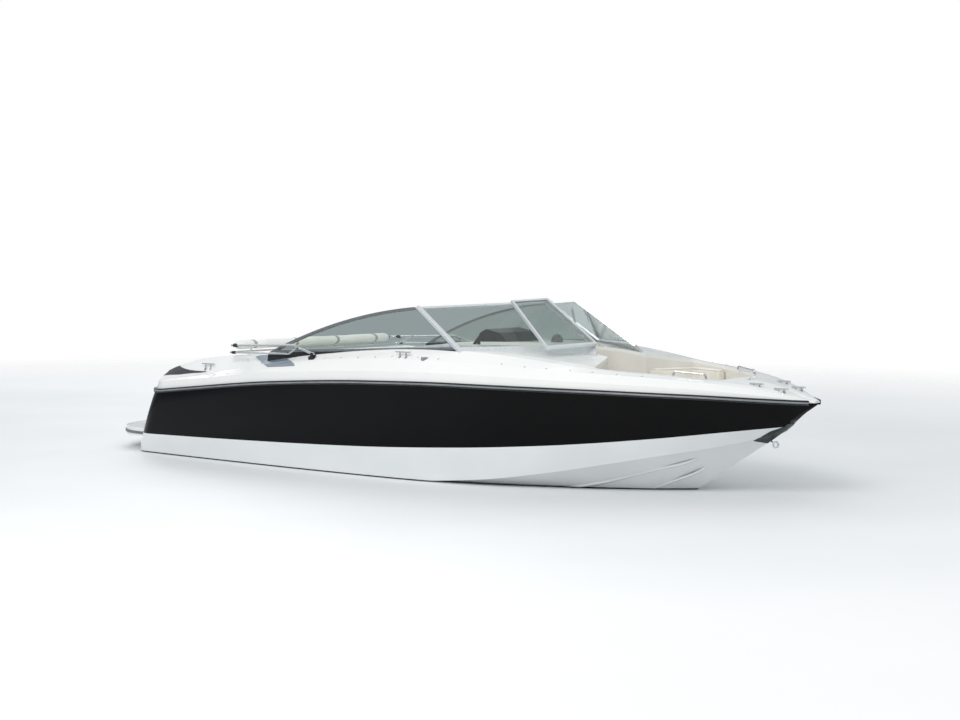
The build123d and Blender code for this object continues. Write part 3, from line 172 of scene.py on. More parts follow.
def height_along(path, z):
    """Length along a rising path at which it reaches a height, or the whole of it."""
    done = 0.0
    if path[0][1] >= z:
        return 0.0
    for p, q in zip(path, path[1:]):
        step = math.dist(p, q)
        if p[1] < z <= q[1]:
            return done + step * (z - p[1]) / (q[1] - p[1])
        done += step
    return done


def boot_z(x):
    """Height of the line between the white band and the black topsides."""
    return faired(BOOT_LINE, x)[1]


def hull_station(x):
    """Section at x from keel to rail, split at the boot line: bottom, band, topsides, and the rail's seat."""
    _, ry, rz, kz, cy, cz, flat, bulge = faired(STATIONS, x)
    keel, chine = (0.0, kz), (cy, cz)
    flare = (cy + flat, cz - flat * 0.25)
    rail = (ry, rz + SHEER_OVERLAP)
    mid = ((flare[0] + rail[0]) / 2 + bulge, (flare[1] + rail[1]) / 2 - bulge * 0.2)
    side = arc_points(flare, mid, rail, 40)
    sheer = height_along(side, rz)
    boot = boot_z(x)
    low = [keel, chine]
    cut_low = height_along(low, boot)
    cut_side = height_along(side, boot) if boot > flare[1] else 0.0
    all_low = path_length(low)
    if boot > cz:
        cut_low = all_low
    bottom = walk(low, 0, cut_low, BOTTOM_STEPS)
    flat_path = [chine, flare]
    if cut_low >= all_low - 1e-6:
        bottom += walk(flat_path, 0, path_length(flat_path), FLAT_STEPS)[1:]
        band = walk(side, 0, cut_side, BAND_STEPS)
        top = [band[-1]] * UNDER_FLARE + walk(side, cut_side, sheer, SIDE_STEPS)
    else:
        cut = walk(low, 0, cut_low, 1)[-1]
        bottom += [cut] * FLAT_STEPS
        band = [cut] * (BAND_STEPS + 1)
        top = walk(low, cut_low, all_low, 2) + walk(flat_path, 0, path_length(flat_path), 1)[1:]
        top += [flare] + walk(side, 0, sheer, SIDE_STEPS)
    # the rail's seat: outside both the hull's side and the deck's foot
    return bottom, band, top, (max(ry, top[-1][0] + RAIL_STANDOFF), rz)


def lean(z):
    """How far the transom leans forward at a height."""
    return max(0.0, z - TRANSOM_KNUCKLE_Z) * TRANSOM_LEAN


def transom_x(y, z, side_y):
    """Transom face in plan at height z: crowned middle, round corner into the side at side_y."""
    y = abs(y)
    if y <= CORNER_Y:
        return lean(z) - TRANSOM_CROWN * (1 + math.cos(math.pi * y / CORNER_Y)) / 2
    t = min(1.0, (y - CORNER_Y) / max(1.0, side_y - CORNER_Y))
    return lean(z) + CORNER_R * (1 - math.sqrt(max(0.0, 1 - t * t)))


def stations():
    """Places of the hull's rows: 60 mm apart from RUN_X, 45 mm towards the bow, 30 mm at the stem."""
    middle = [RUN_X + 60.0 * k for k in range(76)]
    bow = [5450 + 45.0 * k for k in range(1, 24)]
    stem = [6500 + 30.0 * k for k in range(1, 22)]
    return middle + bow + stem + [7148, TIP_X]


def settle(place, share, far_x, start_x):
    """A point of the run from the transom to far_x, its section taken at its own x."""
    x = far_x * share + CORNER_GUESS * (1 - share)
    for _ in range(5):
        y, z = place(x)
        x0 = start_x(y, z)
        x = x0 + (far_x - x0) * share
    return (x, y, z)


# Meshes

def mesh_object(name, verts, faces, smooth=True):
    mesh = bpy.data.meshes.new(name)
    mesh.from_pydata([tuple(v) for v in verts], [], faces)
    mesh.validate()
    mesh.update()
    if smooth:
        mesh.polygons.foreach_set("use_smooth", [True] * len(mesh.polygons))
    obj = bpy.data.objects.new(name, mesh)
    bpy.context.scene.collection.objects.link(obj)
    return obj


def grid(rows, wrap=False):
    """Vertices and quads of a grid given as rows of points."""
    verts = [p for row in rows for p in row]
    n = len(rows[0])
    faces = []
    for r in range(len(rows) - 1):
        for c in range(n if wrap else n - 1):
            d = (c + 1) % n
            faces.append((r * n + c, r * n + d, (r + 1) * n + d, (r + 1) * n + c))
    return verts, faces


def join_grids(parts):
    verts, faces = [], []
    for v, f in parts:
        base = len(verts)
        verts += v
        faces += [tuple(i + base for i in face) for face in f]
    return verts, faces


def both_sides(part):
    verts, faces = part
    other = [(x, -y, z) for x, y, z in verts]
    return join_grids([part, (other, [tuple(reversed(f)) for f in faces])])


def metres(part):
    verts, faces = part
    return [(x * MM, y * MM, z * MM) for x, y, z in verts], faces


def cleaned(obj, distance=0.0004):
    """Merges doubled points, drops empty faces and turns every face outward."""
    bm = bmesh.new()
    bm.from_mesh(obj.data)
    bmesh.ops.remove_doubles(bm, verts=bm.verts, dist=distance)
    bmesh.ops.dissolve_degenerate(bm, dist=0.0001, edges=bm.edges)
    bmesh.ops.recalc_face_normals(bm, faces=bm.faces)
    bm.to_mesh(obj.data)
    bm.free()
    obj.data.polygons.foreach_set("use_smooth", [True] * len(obj.data.polygons))
    return obj


def apply_all(obj):
    """Puts the result of the modifiers into the mesh."""
    graph = bpy.context.evaluated_depsgraph_get()
    graph.update()
    mesh = bpy.data.meshes.new_from_object(obj.evaluated_get(graph))
    obj.modifiers.clear()
    old = obj.data
    obj.data = mesh
    bpy.data.meshes.remove(old)
    return obj


def sharpen(obj, degrees):
    """Smooth faces that break at edges sharper than an angle."""
    obj.data.polygons.foreach_set("use_smooth", [True] * len(obj.data.polygons))
    obj.data.set_sharp_from_angle(angle=math.radians(degrees))
    return obj


def hull_columns(pick):
    """Rows of a hull strip from the stem round the corner to the transom's centre."""
    count = len(pick(hull_station(3000)))
    rows = []
    for j in range(count):
        def place(x, j=j):
            return pick(hull_station(x))[j]
        row = [(x, *place(x)) for x in reversed(stations())]
        for k in range(1, RUN_STEPS + 1):
            row.append(settle(place, 1 - k / RUN_STEPS, RUN_X, lambda y, z: lean(z) + CORNER_R))
        x, y, z = row[-1]
        for k in range(1, CORNER_STEPS + 1):
            angle = math.pi / 2 * k / CORNER_STEPS
            row.append((lean(z) + CORNER_R * (1 - math.sin(angle)),
                        CORNER_Y + (y - CORNER_Y) * math.cos(angle), z))
        for k in range(1, TRANSOM_STEPS + 1):
            inner_y = CORNER_Y * (1 - k / TRANSOM_STEPS)
            row.append((transom_x(inner_y, z, CORNER_Y), inner_y, z))
        rows.append(row)
    return rows


def bottom_rows():
    """Rows of the bottom from the stem to the transom."""
    count = len(hull_station(3000)[0])
    rows = []
    for j in range(count):
        def place(x, j=j):
            return hull_station(x)[0][j]
        row = [(x, *place(x)) for x in reversed(stations())]
        for k in range(1, RUN_STEPS + 1):
            row.append(settle(place, 1 - k / RUN_STEPS, RUN_X, lambda y, z: transom_x(y, z, BOTTOM_AFT_HALF)))
        rows.append(row)
    return rows


def transom_foot(rows, band_rows):
    """The transom under the band, down to the bottom's aft edge."""
    low = [row[-1] for row in rows]
    high_z = band_rows[0][-1][2]
    out = []
    for k in range(FOOT_STEPS + 1):
        t = k / FOOT_STEPS
        out.append([(x, y, z + (high_z - z) * t) for x, y, z in low])
    return out


# Materials

def linear(hex_colour):
    """An sRGB hex colour as the linear RGBA that the shaders take."""
    out = []
    for k in (1, 3, 5):
        c = int(hex_colour[k:k + 2], 16) / 255
        out.append(c / 12.92 if c <= 0.04045 else ((c + 0.055) / 1.055) ** 2.4)
    return (*out, 1.0)


def shade(colour, factor):
    """A linear colour made darker or lighter."""
    return (*(min(1.0, c * factor) for c in colour[:3]), 1.0)


def add(tree, kind, inputs=None, **settings):
    """Adds a shader node, sets its settings, and sets or links its inputs."""
    made = tree.nodes.new(kind)
    for key, value in settings.items():
        setattr(made, key, value)
    for key, value in (inputs or {}).items():
        if isinstance(value, bpy.types.NodeSocket):
            tree.links.new(value, made.inputs[key])
        else:
            made.inputs[key].default_value = value
    return made


def per_mm(size):
    """Texture scale that gives features of a size in millimetres."""
    return 1000.0 / size


def noise(tree, place, size, detail=3.0, stretch=None):
    if stretch:
        place = add(tree, "ShaderNodeMapping", {"Vector": place, "Scale": stretch}).outputs[0]
    inputs = {"Vector": place, "Scale": per_mm(size), "Detail": detail}
    return add(tree, "ShaderNodeTexNoise", inputs).outputs[0]


def between(tree, factor, low, high, start=0.35, stop=0.65):
    """Colour between two linear colours, by a pattern."""
    ramp = add(tree, "ShaderNodeValToRGB", {"Fac": factor})
    for stop_k, (at, value) in zip(ramp.color_ramp.elements, ((start, low), (stop, high))):
        stop_k.position = at
        stop_k.color = value
    return ramp.outputs[0]


def mottled(tree, factor, base, spread, start=0.35, stop=0.65):
    """A base colour, a little darker and lighter by a pattern."""
    return between(tree, factor, shade(base, 1 - spread), shade(base, 1 + spread), start, stop)


def ranged(tree, factor, low, high, start=0.3, stop=0.7):
    return add(tree, "ShaderNodeMapRange", {"Value": factor, "From Min": start, "From Max": stop,
                                            "To Min": low, "To Max": high}).outputs[0]


def mixed(tree, factor, one, other):
    """One colour turning into another by a factor."""
    return add(tree, "ShaderNodeMix", {0: factor, 6: one, 7: other}, data_type="RGBA").outputs[2]


def along(tree, place, direction, offset=0.0):
    """Distance of the shaded point along a direction, in metres."""
    reach = add(tree, "ShaderNodeVectorMath", {0: place, 1: direction}, operation="DOT_PRODUCT").outputs[1]
    return add(tree, "ShaderNodeMath", {0: reach, 1: offset}, operation="ADD").outputs[0]


def relief(tree, height, depth_mm, normal=None, strength=1.0):
    inputs = {"Height": height, "Distance": depth_mm * MM, "Strength": strength}
    if normal is not None:
        inputs["Normal"] = normal
    return add(tree, "ShaderNodeBump", inputs).outputs[0]


def cells(tree, place, size, feature="F1"):
    inputs = {"Vector": place, "Scale": per_mm(size)}
    return add(tree, "ShaderNodeTexVoronoi", inputs, feature=feature).outputs[0]


def shader(name):
    """A new material with an empty principled shader, its tree and its object coordinates."""
    material = bpy.data.materials.new(name)
    material.use_nodes = True
    tree = material.node_tree
    tree.nodes.clear()
    surface = add(tree, "ShaderNodeBsdfPrincipled")
    add(tree, "ShaderNodeOutputMaterial", {"Surface": surface.outputs[0]})
    return material, tree, surface, add(tree, "ShaderNodeTexCoord").outputs["Object"]


def feed(tree, surface, **inputs):
    """Sets or links the principled shader's sockets, named with underscores for spaces."""
    for key, value in inputs.items():
        socket = surface.inputs[key.replace("_", " ")]
        if isinstance(value, bpy.types.NodeSocket):
            tree.links.new(value, socket)
        else:
            socket.default_value = value


def gelcoat(name, base, spread=0.03, rough=0.1, coat=0.4, specular=0.5):
    # sprayed in a polished mould: deep gloss, a faint waviness of the mould, thin haze from wiping
    material, tree, surface, place = shader(name)
    feed(tree, surface, Base_Color=mottled(tree, noise(tree, place, 900), base, spread),
         Roughness=ranged(tree, noise(tree, place, 320, 4), rough * 0.7, rough * 1.9), Coat_Weight=coat,
         Coat_Roughness=0.03, Specular_IOR_Level=specular,
         Normal=relief(tree, noise(tree, place, 160, 1), 0.02))
    return material


def gelcoat_dark_waterline(name, base, line_height):
    # polished gelcoat that stays afloat: glossy, and dark below a thin ragged line just above the waterline
    material, tree, surface, place = shader(name)
    height = along(tree, place, (0.0, 0.0, 1.0))
    ragged = add(tree, "ShaderNodeMath", {0: noise(tree, place, 60, 4), 1: 0.004, 2: height},
                 operation="MULTIPLY_ADD").outputs[0]
    # dark below line_height above the waterline, with a ragged edge
    line = ranged(tree, ragged, 1.0, 0.0, line_height, line_height + 0.006)
    unlined_white = mottled(tree, noise(tree, place, 700), base, 0.03)
    feed(tree, surface, Base_Color=mixed(tree, line, unlined_white, linear("#16181A")),
         Roughness=ranged(tree, noise(tree, place, 260, 4), 0.1, 0.22), Coat_Weight=0.4, Coat_Roughness=0.05,
         Normal=relief(tree, noise(tree, place, 160, 1), 0.02))
    return material


def gelcoat_nonskid(name, base):
    # cast in a mould with a pebbled insert: matt, tiny rounded bumps that catch the light in rows
    material, tree, surface, place = shader(name)
    bumps = cells(tree, place, 5.5)
    feed(tree, surface, Base_Color=mottled(tree, noise(tree, place, 240), base, 0.04),
         Roughness=ranged(tree, bumps, 0.52, 0.38), Normal=relief(tree, bumps, 0.8))
    return material


def flake_gelcoat(name, base):
    # sprayed with fine metal flake under clear: a soft sparkle under a hard gloss
    material, tree, surface, place = shader(name)
    feed(tree, surface, Base_Color=mottled(tree, cells(tree, place, 1.1), base, 0.16, 0.1, 0.7), Metallic=0.3,
         Roughness=ranged(tree, noise(tree, place, 200), 0.2, 0.34), Coat_Weight=1.0, Coat_Roughness=0.04,
         Normal=relief(tree, noise(tree, place, 150, 1), 0.02))
    return material


def vinyl(name, base, grain=1.6, depth=0.16):
    # calendered on foam and embossed: a leather-like pebble, soft highlights, faint soiling in the hollows
    material, tree, surface, place = shader(name)
    pebble = cells(tree, place, grain, "SMOOTH_F1")
    soft = relief(tree, noise(tree, place, 55, 3), 1.3, strength=0.5)
    feed(tree, surface, Base_Color=mottled(tree, noise(tree, place, 210, 5), base, 0.06),
         Roughness=ranged(tree, pebble, 0.38, 0.55, 0.1, 0.7), Sheen_Weight=0.12, Sheen_Roughness=0.5,
         Normal=relief(tree, pebble, depth, soft))
    return material


def canvas(name, base):
    # woven acrylic: a fine plain weave, dull, with soft weathered patches and small creases
    material, tree, surface, place = shader(name)
    threads = [add(tree, "ShaderNodeTexWave", {"Vector": place, "Scale": per_mm(6.0), "Distortion": 0.4},
                   bands_direction=way).outputs[1] for way in ("X", "DIAGONAL")]
    weave = add(tree, "ShaderNodeMath", {0: threads[0], 1: threads[1]}, operation="MULTIPLY").outputs[0]
    creases = relief(tree, noise(tree, place, 70, 4), 4.0, strength=0.6)
    feed(tree, surface, Base_Color=mottled(tree, noise(tree, place, 180, 5), base, 0.05),
         Roughness=ranged(tree, weave, 0.82, 0.95), Sheen_Weight=0.3, Sheen_Roughness=0.4,
         Normal=relief(tree, weave, 0.25, creases))
    return material


def polished_steel(name, base, rough=0.09):
    # drawn tube, buffed along its length: a mirror with faint fine lines and a few fingerprints
    material, tree, surface, place = shader(name)
    lines = noise(tree, place, 3, 2, (0.08, 1, 1))
    feed(tree, surface, Base_Color=mottled(tree, lines, base, 0.08), Metallic=1.0,
         Roughness=ranged(tree, noise(tree, place, 60, 3), rough, rough * 2.4),
         Normal=relief(tree, lines, 0.01))
    return material


def anodised_aluminium(name, base, wing):
    # extruded, brushed and anodised: satin streaks of the die; the side rails aft of the corner post are
    # darker grey over a black rubber gasket
    material, tree, surface, place = shader(name)
    streaks = noise(tree, place, 4, 3, (0.05, 1, 1))
    aft = ranged(tree, along(tree, place, (1.0, 0.0, POST_RUN), -POST_REACH), 1.0, 0.0, -0.035, -0.025)
    low = ranged(tree, along(tree, place, (-WING_RISE, 0.0, 1.0), -WING_FOOT), 1.0, 0.0, 0.004, 0.007)
    rubber = add(tree, "ShaderNodeMath", {0: aft, 1: low}, operation="MULTIPLY").outputs[0]
    bright = mottled(tree, streaks, base, 0.08)
    metal = mixed(tree, aft, bright, mottled(tree, streaks, wing, 0.12))
    feed(tree, surface, Base_Color=mixed(tree, rubber, metal, linear("#141516")),
         Metallic=ranged(tree, rubber, 0.75, 0.0, 0.0, 1.0), Roughness=ranged(tree, streaks, 0.24, 0.38),
         Normal=relief(tree, streaks, 0.015))
    return material


def enamel(name, base, rough=0.3, peel=0.05):
    # sprayed on cast metal: an even satin skin with fine orange peel and slight bloom
    material, tree, surface, place = shader(name)
    feed(tree, surface, Base_Color=mottled(tree, noise(tree, place, 120, 4), base, 0.15),
         Roughness=ranged(tree, noise(tree, place, 45, 3), rough * 0.8, rough * 1.3), Coat_Weight=0.25,
         Coat_Roughness=0.15, Normal=relief(tree, noise(tree, place, 6, 2), peel))
    return material


def moulded_plastic(name, base, rough=0.45, grain=1.4, depth=0.08):
    # injection moulded with a spark-eroded grain: dull, evenly speckled highlights
    material, tree, surface, place = shader(name)
    grains = noise(tree, place, grain, 2)
    feed(tree, surface, Base_Color=mottled(tree, noise(tree, place, 90, 3), base, 0.12),
         Roughness=ranged(tree, grains, rough * 0.85, rough * 1.2), Normal=relief(tree, grains, depth))
    return material


def safety_glass(name, tint):
    # bent and toughened sheet, tinted in the melt: clear, grey-green, with a trace of salt on it
    material, tree, surface, place = shader(name)
    feed(tree, surface, Base_Color=mottled(tree, noise(tree, place, 600), tint, 0.01),
         Transmission_Weight=1.0, IOR=1.45,
         Roughness=ranged(tree, noise(tree, place, 130, 4), 0.0, 0.03, 0.45, 0.75))
    return material


def vent_sheet(name, base):
    # punched sheet: rows of holes in a dull skin, the holes painted near black as painted shade inside them
    material, tree, surface, place = shader(name)
    holes = cells(tree, place, 9)
    # the near black of the holes is painted shade
    feed(tree, surface, Base_Color=between(tree, holes, linear("#08090A"), shade(base, 1.0), 0.2, 0.42),
         Roughness=0.5, Normal=relief(tree, holes, 1.6))
    return material


def gauge_face(name, base):
    # printed plastic dial under a clear lens: black with a faint ring of light marks
    material, tree, surface, place = shader(name)
    feed(tree, surface, Base_Color=mottled(tree, noise(tree, place, 12), base, 0.2), Roughness=0.35,
         Coat_Weight=1.0, Coat_Roughness=0.02)
    return material


def make_look(key, c):
    """Builds one material by its key, from the colour settings."""
    makers = {
        "topsides": lambda: gelcoat("gelcoat_black_polished", c.topsides, 0.2, 0.08, 0.0, 0.12),
        "bottom": lambda: gelcoat_dark_waterline("gelcoat_white_polished", c.bottom, 0.012),
        "deck": lambda: gelcoat("gelcoat_deck_white_polished", c.deck, 0.02, 0.16, 0.3),
        "nonskid": lambda: gelcoat_nonskid("gelcoat_nonskid_pebbled", c.nonskid),
        "accent": lambda: flake_gelcoat("gelcoat_slate_metal_flake", c.accent),
        "cream": lambda: vinyl("marine_vinyl_cream_embossed", c.vinyl),
        "welt": lambda: vinyl("marine_vinyl_welt_smooth", shade(c.vinyl, 0.72), 0.9, 0.04),
        "canvas": lambda: canvas("acrylic_canvas_white_woven", c.canvas),
        "webbing": lambda: canvas("polyester_webbing_grey_woven", shade(c.canvas, 0.45)),
        "steel": lambda: polished_steel("stainless_tube_buffed", c.steel),
        "prop": lambda: polished_steel("stainless_cast_polished", c.steel, 0.14),
        # the stem guard's dark green-grey colour is a painted reflection of the water in its polished steel
        "guard": lambda: polished_steel("stainless_plate_dulled", c.guard, 0.22),
        "aluminium": lambda: anodised_aluminium("aluminium_extruded_anodised", c.frame, c.frame_wing),
        "glass": lambda: safety_glass("toughened_glass_grey_green", c.glass),
        "rail": lambda: moulded_plastic("rail_vinyl_extruded_black", c.rail, 0.32, 3.0, 0.02),
        "insert": lambda: moulded_plastic("rail_insert_vinyl_grey", c.insert, 0.28, 3.0, 0.02),
        "drive": lambda: enamel("cast_aluminium_black_enamelled", c.drive),
        "plastic": lambda: moulded_plastic("abs_black_grained", c.plastic),
        "grey_plastic": lambda: moulded_plastic("polymer_grey_grained", c.trim),
        "engine": lambda: enamel("engine_iron_enamelled", c.engine, 0.4, 0.2),
        "mesh": lambda: vent_sheet("punched_vent_sheet_black", c.vent),
        "dial": lambda: gauge_face("gauge_dial_black_printed", c.plastic),
    }
    return makers[key]()


def look(key):
    """The material of a key, built once."""
    tag = "runabout_look"
    for material in bpy.data.materials:
        if material.get(tag) == key:
            return material
    material = make_look(key, bpy.context.scene.runabout_colours)
    material[tag] = key
    return material


# Soft goods

SEAM_WIDTH = 0.011
# Share of a cushion's crown on its sides and on its underside
SIDE_SWELL = 0.55
UNDERSIDE_SWELL = 0.1
WELT_STEP = 0.014
WELT_LEAST = 0.25


def islands(mesh):
    """The separate closed bodies in a mesh, each as vertices and faces."""
    bm = bmesh.new()
    bm.from_mesh(mesh)
    bmesh.ops.remove_doubles(bm, verts=bm.verts, dist=0.00005)
    seen, out = set(), []
    for start in bm.verts:
        if start in seen:
            continue
        heap, group = [start], []
        seen.add(start)
        while heap:
            v = heap.pop()
            group.append(v)
            for edge in v.link_edges:
                w = edge.other_vert(v)
                if w not in seen:
                    seen.add(w)
                    heap.append(w)
        index = {v: k for k, v in enumerate(group)}
        faces = {f for v in group for f in v.link_faces}
        faces = sorted(faces, key=lambda f: f.index)
        out.append(([tuple(v.co) for v in group], [tuple(index[v] for v in f.verts) for f in faces]))
    bm.free()
    return out


def sharp_edges(part, degrees=38.0):
    """Edges of a closed body that break at more than an angle, with whether a face beside looks up."""
    verts, faces = part
    bm = bmesh.new()
    made = [bm.verts.new(v) for v in verts]
    for face in faces:
        try:
            bm.faces.new([made[i] for i in face])
        except ValueError:
            continue
    bmesh.ops.recalc_face_normals(bm, faces=bm.faces)
    bm.normal_update()
    out = []
    for edge in bm.edges:
        if len(edge.link_faces) == 2 and edge.calc_face_angle(0.0) > math.radians(degrees):
            upward = max(f.normal.z for f in edge.link_faces)
            out.append((edge.verts[0].co.copy(), edge.verts[1].co.copy(), upward))
    bm.free()
    return out


def spread(segments, step=0.012):
    """Points along straight segments, in a tree for nearest-point questions."""
    points = []
    for segment in segments:
        p, q = Vector(segment[0]), Vector(segment[1])
        count = max(1, int((q - p).length / step))
        points += [p.lerp(q, k / count) for k in range(count + 1)]
    tree = KDTree(len(points))
    for k, p in enumerate(points):
        tree.insert(p, k)
    tree.balance()
    return tree


def stuffed(part, voxel, crown, reach, seams, groove):
    """A body filled out as foam under a cover: rounded edges, crowned faces and sewn channels."""
    obj = mesh_object("stuffed", *part)
    mod = obj.modifiers.new("remesh", "REMESH")
    mod.mode = "VOXEL"
    mod.voxel_size = voxel
    mod = obj.modifiers.new("smooth", "SMOOTH")
    mod.factor = 0.5
    mod.iterations = 6
    apply_all(obj)
    edges = spread([(p, q) for p, q, _ in sharp_edges(part)] or [(part[0][0], part[0][1])])
    lines = spread([s for line in seams for s in zip(line, line[1:])]) if seams else None
    moves = []
    for v in obj.data.vertices:
        away = min(1.0, edges.find(v.co)[2] / reach)
        swell = crown * (1 - (1 - away) ** 2)
        if v.normal.z < -0.6:
            swell *= UNDERSIDE_SWELL
        elif v.normal.z < 0.5:
            swell *= SIDE_SWELL
        if lines is not None and v.normal.z > -0.2:
            near = lines.find(v.co)[2] / SEAM_WIDTH
            swell -= groove * math.exp(-near * near)
        moves.append(v.co + v.normal * swell)
    for v, place in zip(obj.data.vertices, moves):
        v.co = place
    mod = obj.modifiers.new("fair", "SMOOTH")
    mod.factor = 0.4
    mod.iterations = 2
    mod = obj.modifiers.new("fine", "SUBSURF")
    mod.levels = 1
    mod.render_levels = 1
    apply_all(obj)
    mesh = obj.data
    out = ([tuple(v.co) for v in mesh.vertices], [tuple(f.vertices) for f in mesh.polygons])
    bpy.data.objects.remove(obj)
    bpy.data.meshes.remove(mesh)
    return out


def chains(segments, tolerance=0.0006):
    """Joins segments end to end into open or closed lines."""
    def key(p):
        return tuple(round(c / tolerance) for c in p)
    links = {}
    for k, (p, q) in enumerate(segments):
        links.setdefault(key(p), []).append(k)
        links.setdefault(key(q), []).append(k)
    used, out = set(), []
    for first in range(len(segments)):
        if first in used:
            continue
        used.add(first)
        line = [segments[first][0], segments[first][1]]
        for _ in range(2):
            while True:
                here = links[key(line[-1])]
                step = next((k for k in here if k not in used), None)
                if step is None:
                    break
                used.add(step)
                p, q = segments[step]
                line.append(q if key(p) == key(line[-1]) else p)
            line.reverse()
        out.append(line)
    return out


def resampled(line, step):
    """The same line in even steps."""
    total = sum((q - p).length for p, q in zip(line, line[1:]))
    count = max(2, int(total / step))
    return [Vector(p) for p in walk([tuple(p) for p in line], 0, total, count)]


def cord_mesh(line, radius, sides=6, closed=False):
    """A thin round cord along a line of points, as vertices and faces."""
    count = len(line)
    rows = []
    for k, p in enumerate(line):
        before = line[k - 1] if (k or closed) else p
        after = line[(k + 1) % count] if (k < count - 1 or closed) else p
        ahead = (after - before).normalized()
        aside = ahead.cross(Vector((0.13, 0.29, 0.95))).normalized()
        up = aside.cross(ahead)
        rows.append([tuple(p + aside * (radius * math.cos(2 * math.pi * j / sides))
                           + up * (radius * math.sin(2 * math.pi * j / sides))) for j in range(sides)])
    if closed:
        rows.append(rows[0])
    verts, faces = grid(rows, wrap=True)
    if not closed:
        faces += [tuple(range(sides))[::-1], tuple(range(len(verts) - sides, len(verts)))]
    return verts, faces


def piping(parts, soft, radius):
    """Welt cords along the top edges of cushions, laid on the stuffed surface."""
    tree = BVHTree.FromPolygons([Vector(v) for v in soft[0]], soft[1])
    out = []
    for part in parts:
        top = [(p, q) for p, q, upward in sharp_edges(part) if upward > 0.55]
        for line in chains(top):
            closed = (line[0] - line[-1]).length < 0.002
            line = resampled(line, WELT_STEP)
            if closed:
                line = line[:-1]
            if len(line) * WELT_STEP < WELT_LEAST:
                continue
            line = [tree.find_nearest(p)[0] or p for p in line]
            for _ in range(3):
                n = len(line)
                line = [line[k] if not closed and k in (0, n - 1) else
                        (line[k - 1] + line[k] * 2 + line[(k + 1) % n]) / 4 for k in range(n)]
            out.append(cord_mesh(line, radius, closed=closed))
    return out


# Hull

def finish_piece(obj, body, slot_name, key, *nodes):
    """Gives a piece its material and its body, and hides the CAD nodes that it stands for; slot_name is not
    used.
    """
    obj.data.materials.clear()
    obj.data.materials.append(look(key))
    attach(obj, body)
    if nodes:
        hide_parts(*nodes)
    return obj


def hull_skins(laminate):
    """Smooth skins for the topsides and the bottom, from the sections."""
    side = hull_columns(lambda s: s[2])
    topsides = cleaned(mesh_object("topside_skin", *metres(both_sides(grid(side)))))
    low = bottom_rows()
    band = hull_columns(lambda s: s[1])
    parts = [grid(low), grid(band), grid(transom_foot(low, band))]
    bottom = cleaned(mesh_object("bottom_skin", *metres(both_sides(join_grids(parts)))))
    for obj in (topsides, bottom):
        mod = obj.modifiers.new("laminate", "SOLIDIFY")
        mod.thickness = laminate
        mod.offset = -1
        sharpen(apply_all(obj), 24)
    finish_piece(topsides, "hull", "gelcoat_black", "topsides", "hull_topsides")
    finish_piece(bottom, "hull", "gelcoat_white", "bottom", "hull_bottom")


def sweep_profile(path, profile):
    """A section swept along a level path: profile points are (outward, up) in millimetres."""
    rows = []
    count = len(path)
    for k, (x, y, z) in enumerate(path):
        x0, y0, _ = path[max(0, k - 1)]
        x1, y1, _ = path[min(count - 1, k + 1)]
        length = math.hypot(x1 - x0, y1 - y0)
        out = ((y1 - y0) / length, (x0 - x1) / length)
        rows.append([(x + out[0] * o, y + out[1] * o, z + u) for o, u in profile])
    return grid(rows, wrap=True)


# The rail's section: a black base with a lip over and under a grey insert, (outward, up) in millimetres
RAIL_BASE = [(-24, -21), (12, -21), (16, -18), (16.5, -12), (12, -10), (12, 8), (16.5, 10), (16, 17),
             (11, 19.5), (-24, 19.5)]
INSERT_HALF = 9.0
INSERT_SEAT = 10.0
INSERT_CROWN = 7.5
# How far the rail stops short of the stem, in millimetres: the deck's white nose stands there
RAIL_NOSE = 24


def rub_rail():
    """The rail at the joint of hull and deck: a black base and a grey insert."""
    path = hull_columns(lambda s: [s[3]])[0]
    stem = max(p[0] for p in path)
    path = [p for p in path if p[0] < stem - RAIL_NOSE]
    insert = [(INSERT_SEAT - 3, -INSERT_HALF)]
    insert += [(INSERT_SEAT + INSERT_CROWN * math.cos(a), -1 + INSERT_HALF * math.sin(a))
               for a in (math.pi * (k / 8 - 0.5) for k in range(9))]
    insert += [(INSERT_SEAT - 3, INSERT_HALF)]
    base = cleaned(mesh_object("rail_base", *metres(both_sides(sweep_profile(path, RAIL_BASE)))))
    strip = cleaned(mesh_object("rail_insert", *metres(both_sides(sweep_profile(path, insert)))))
    finish_piece(sharpen(base, 30), "hull", "rail_vinyl", "rail", "rub_rail")
    finish_piece(sharpen(strip, 50), "hull", "rail_vinyl", "insert", "rub_rail")


# Trim on the skins. Outlines are in millimetres on the starboard side
# columns: x, y, z
VENT_OUTLINE = [(389, -1028, 788), (491, -1011, 829), (556, -1002, 856), (645, -1001, 883),
                (689, -1027, 868), (786, -1059, 854), (887, -1083, 844), (1013, -1103, 841),
                (1110, -1115, 843), (1201, -1127, 845), (1124, -1127, 832), (983, -1116, 821),
                (753, -1107, 795), (462, -1070, 777)]
ACCENT_OUTLINE = [(1815, -1049, 1001), (1858, -1037, 1012), (1960, -1030, 1022), (2086, -1038, 1027),
                  (2196, -1075, 1022), (2281, -1106, 1015), (2397, -1153, 997), (2487, -1190, 973),
                  (2516, -1212, 955), (2342, -1213, 941), (2145, -1206, 931), (1994, -1138, 961)]
# columns: x, y
SNAPS = [(642, 1152), (874, 1195), (1059, 1189), (1275, 1207), (1477, 1206), (1879, 1133), (2715, 1139),
         (2924, 1140), (3138, 1139), (3352, 1139), (3548, 1127), (3847, 1120), (4085, 1120), (4752, 1067),
         (4978, 1035), (5173, 990), (5377, 931), (5561, 868), (5757, 801), (5953, 722)]
# columns: x, lower edge z, upper edge z, before the stem's own line cuts the lower one
GUARD_EDGES = [(6640, 462, 466), (6700, 440, 494), (6790, 400, 548), (6890, 400, 590), (6935, 400, 622)]


# Patches pressed onto the deck: cell of the mesh, how far off the rays start, lift and thickness, in metres
PATCH_CELL = 0.014
PATCH_REACH = 0.3
PATCH_RAY = 0.8
PANEL_LIFT = 0.0015
PANEL_THICK = 0.003
# The way in which the deck's side faces, on starboard
PANEL_FACING = (-0.08, -0.62, 0.78)


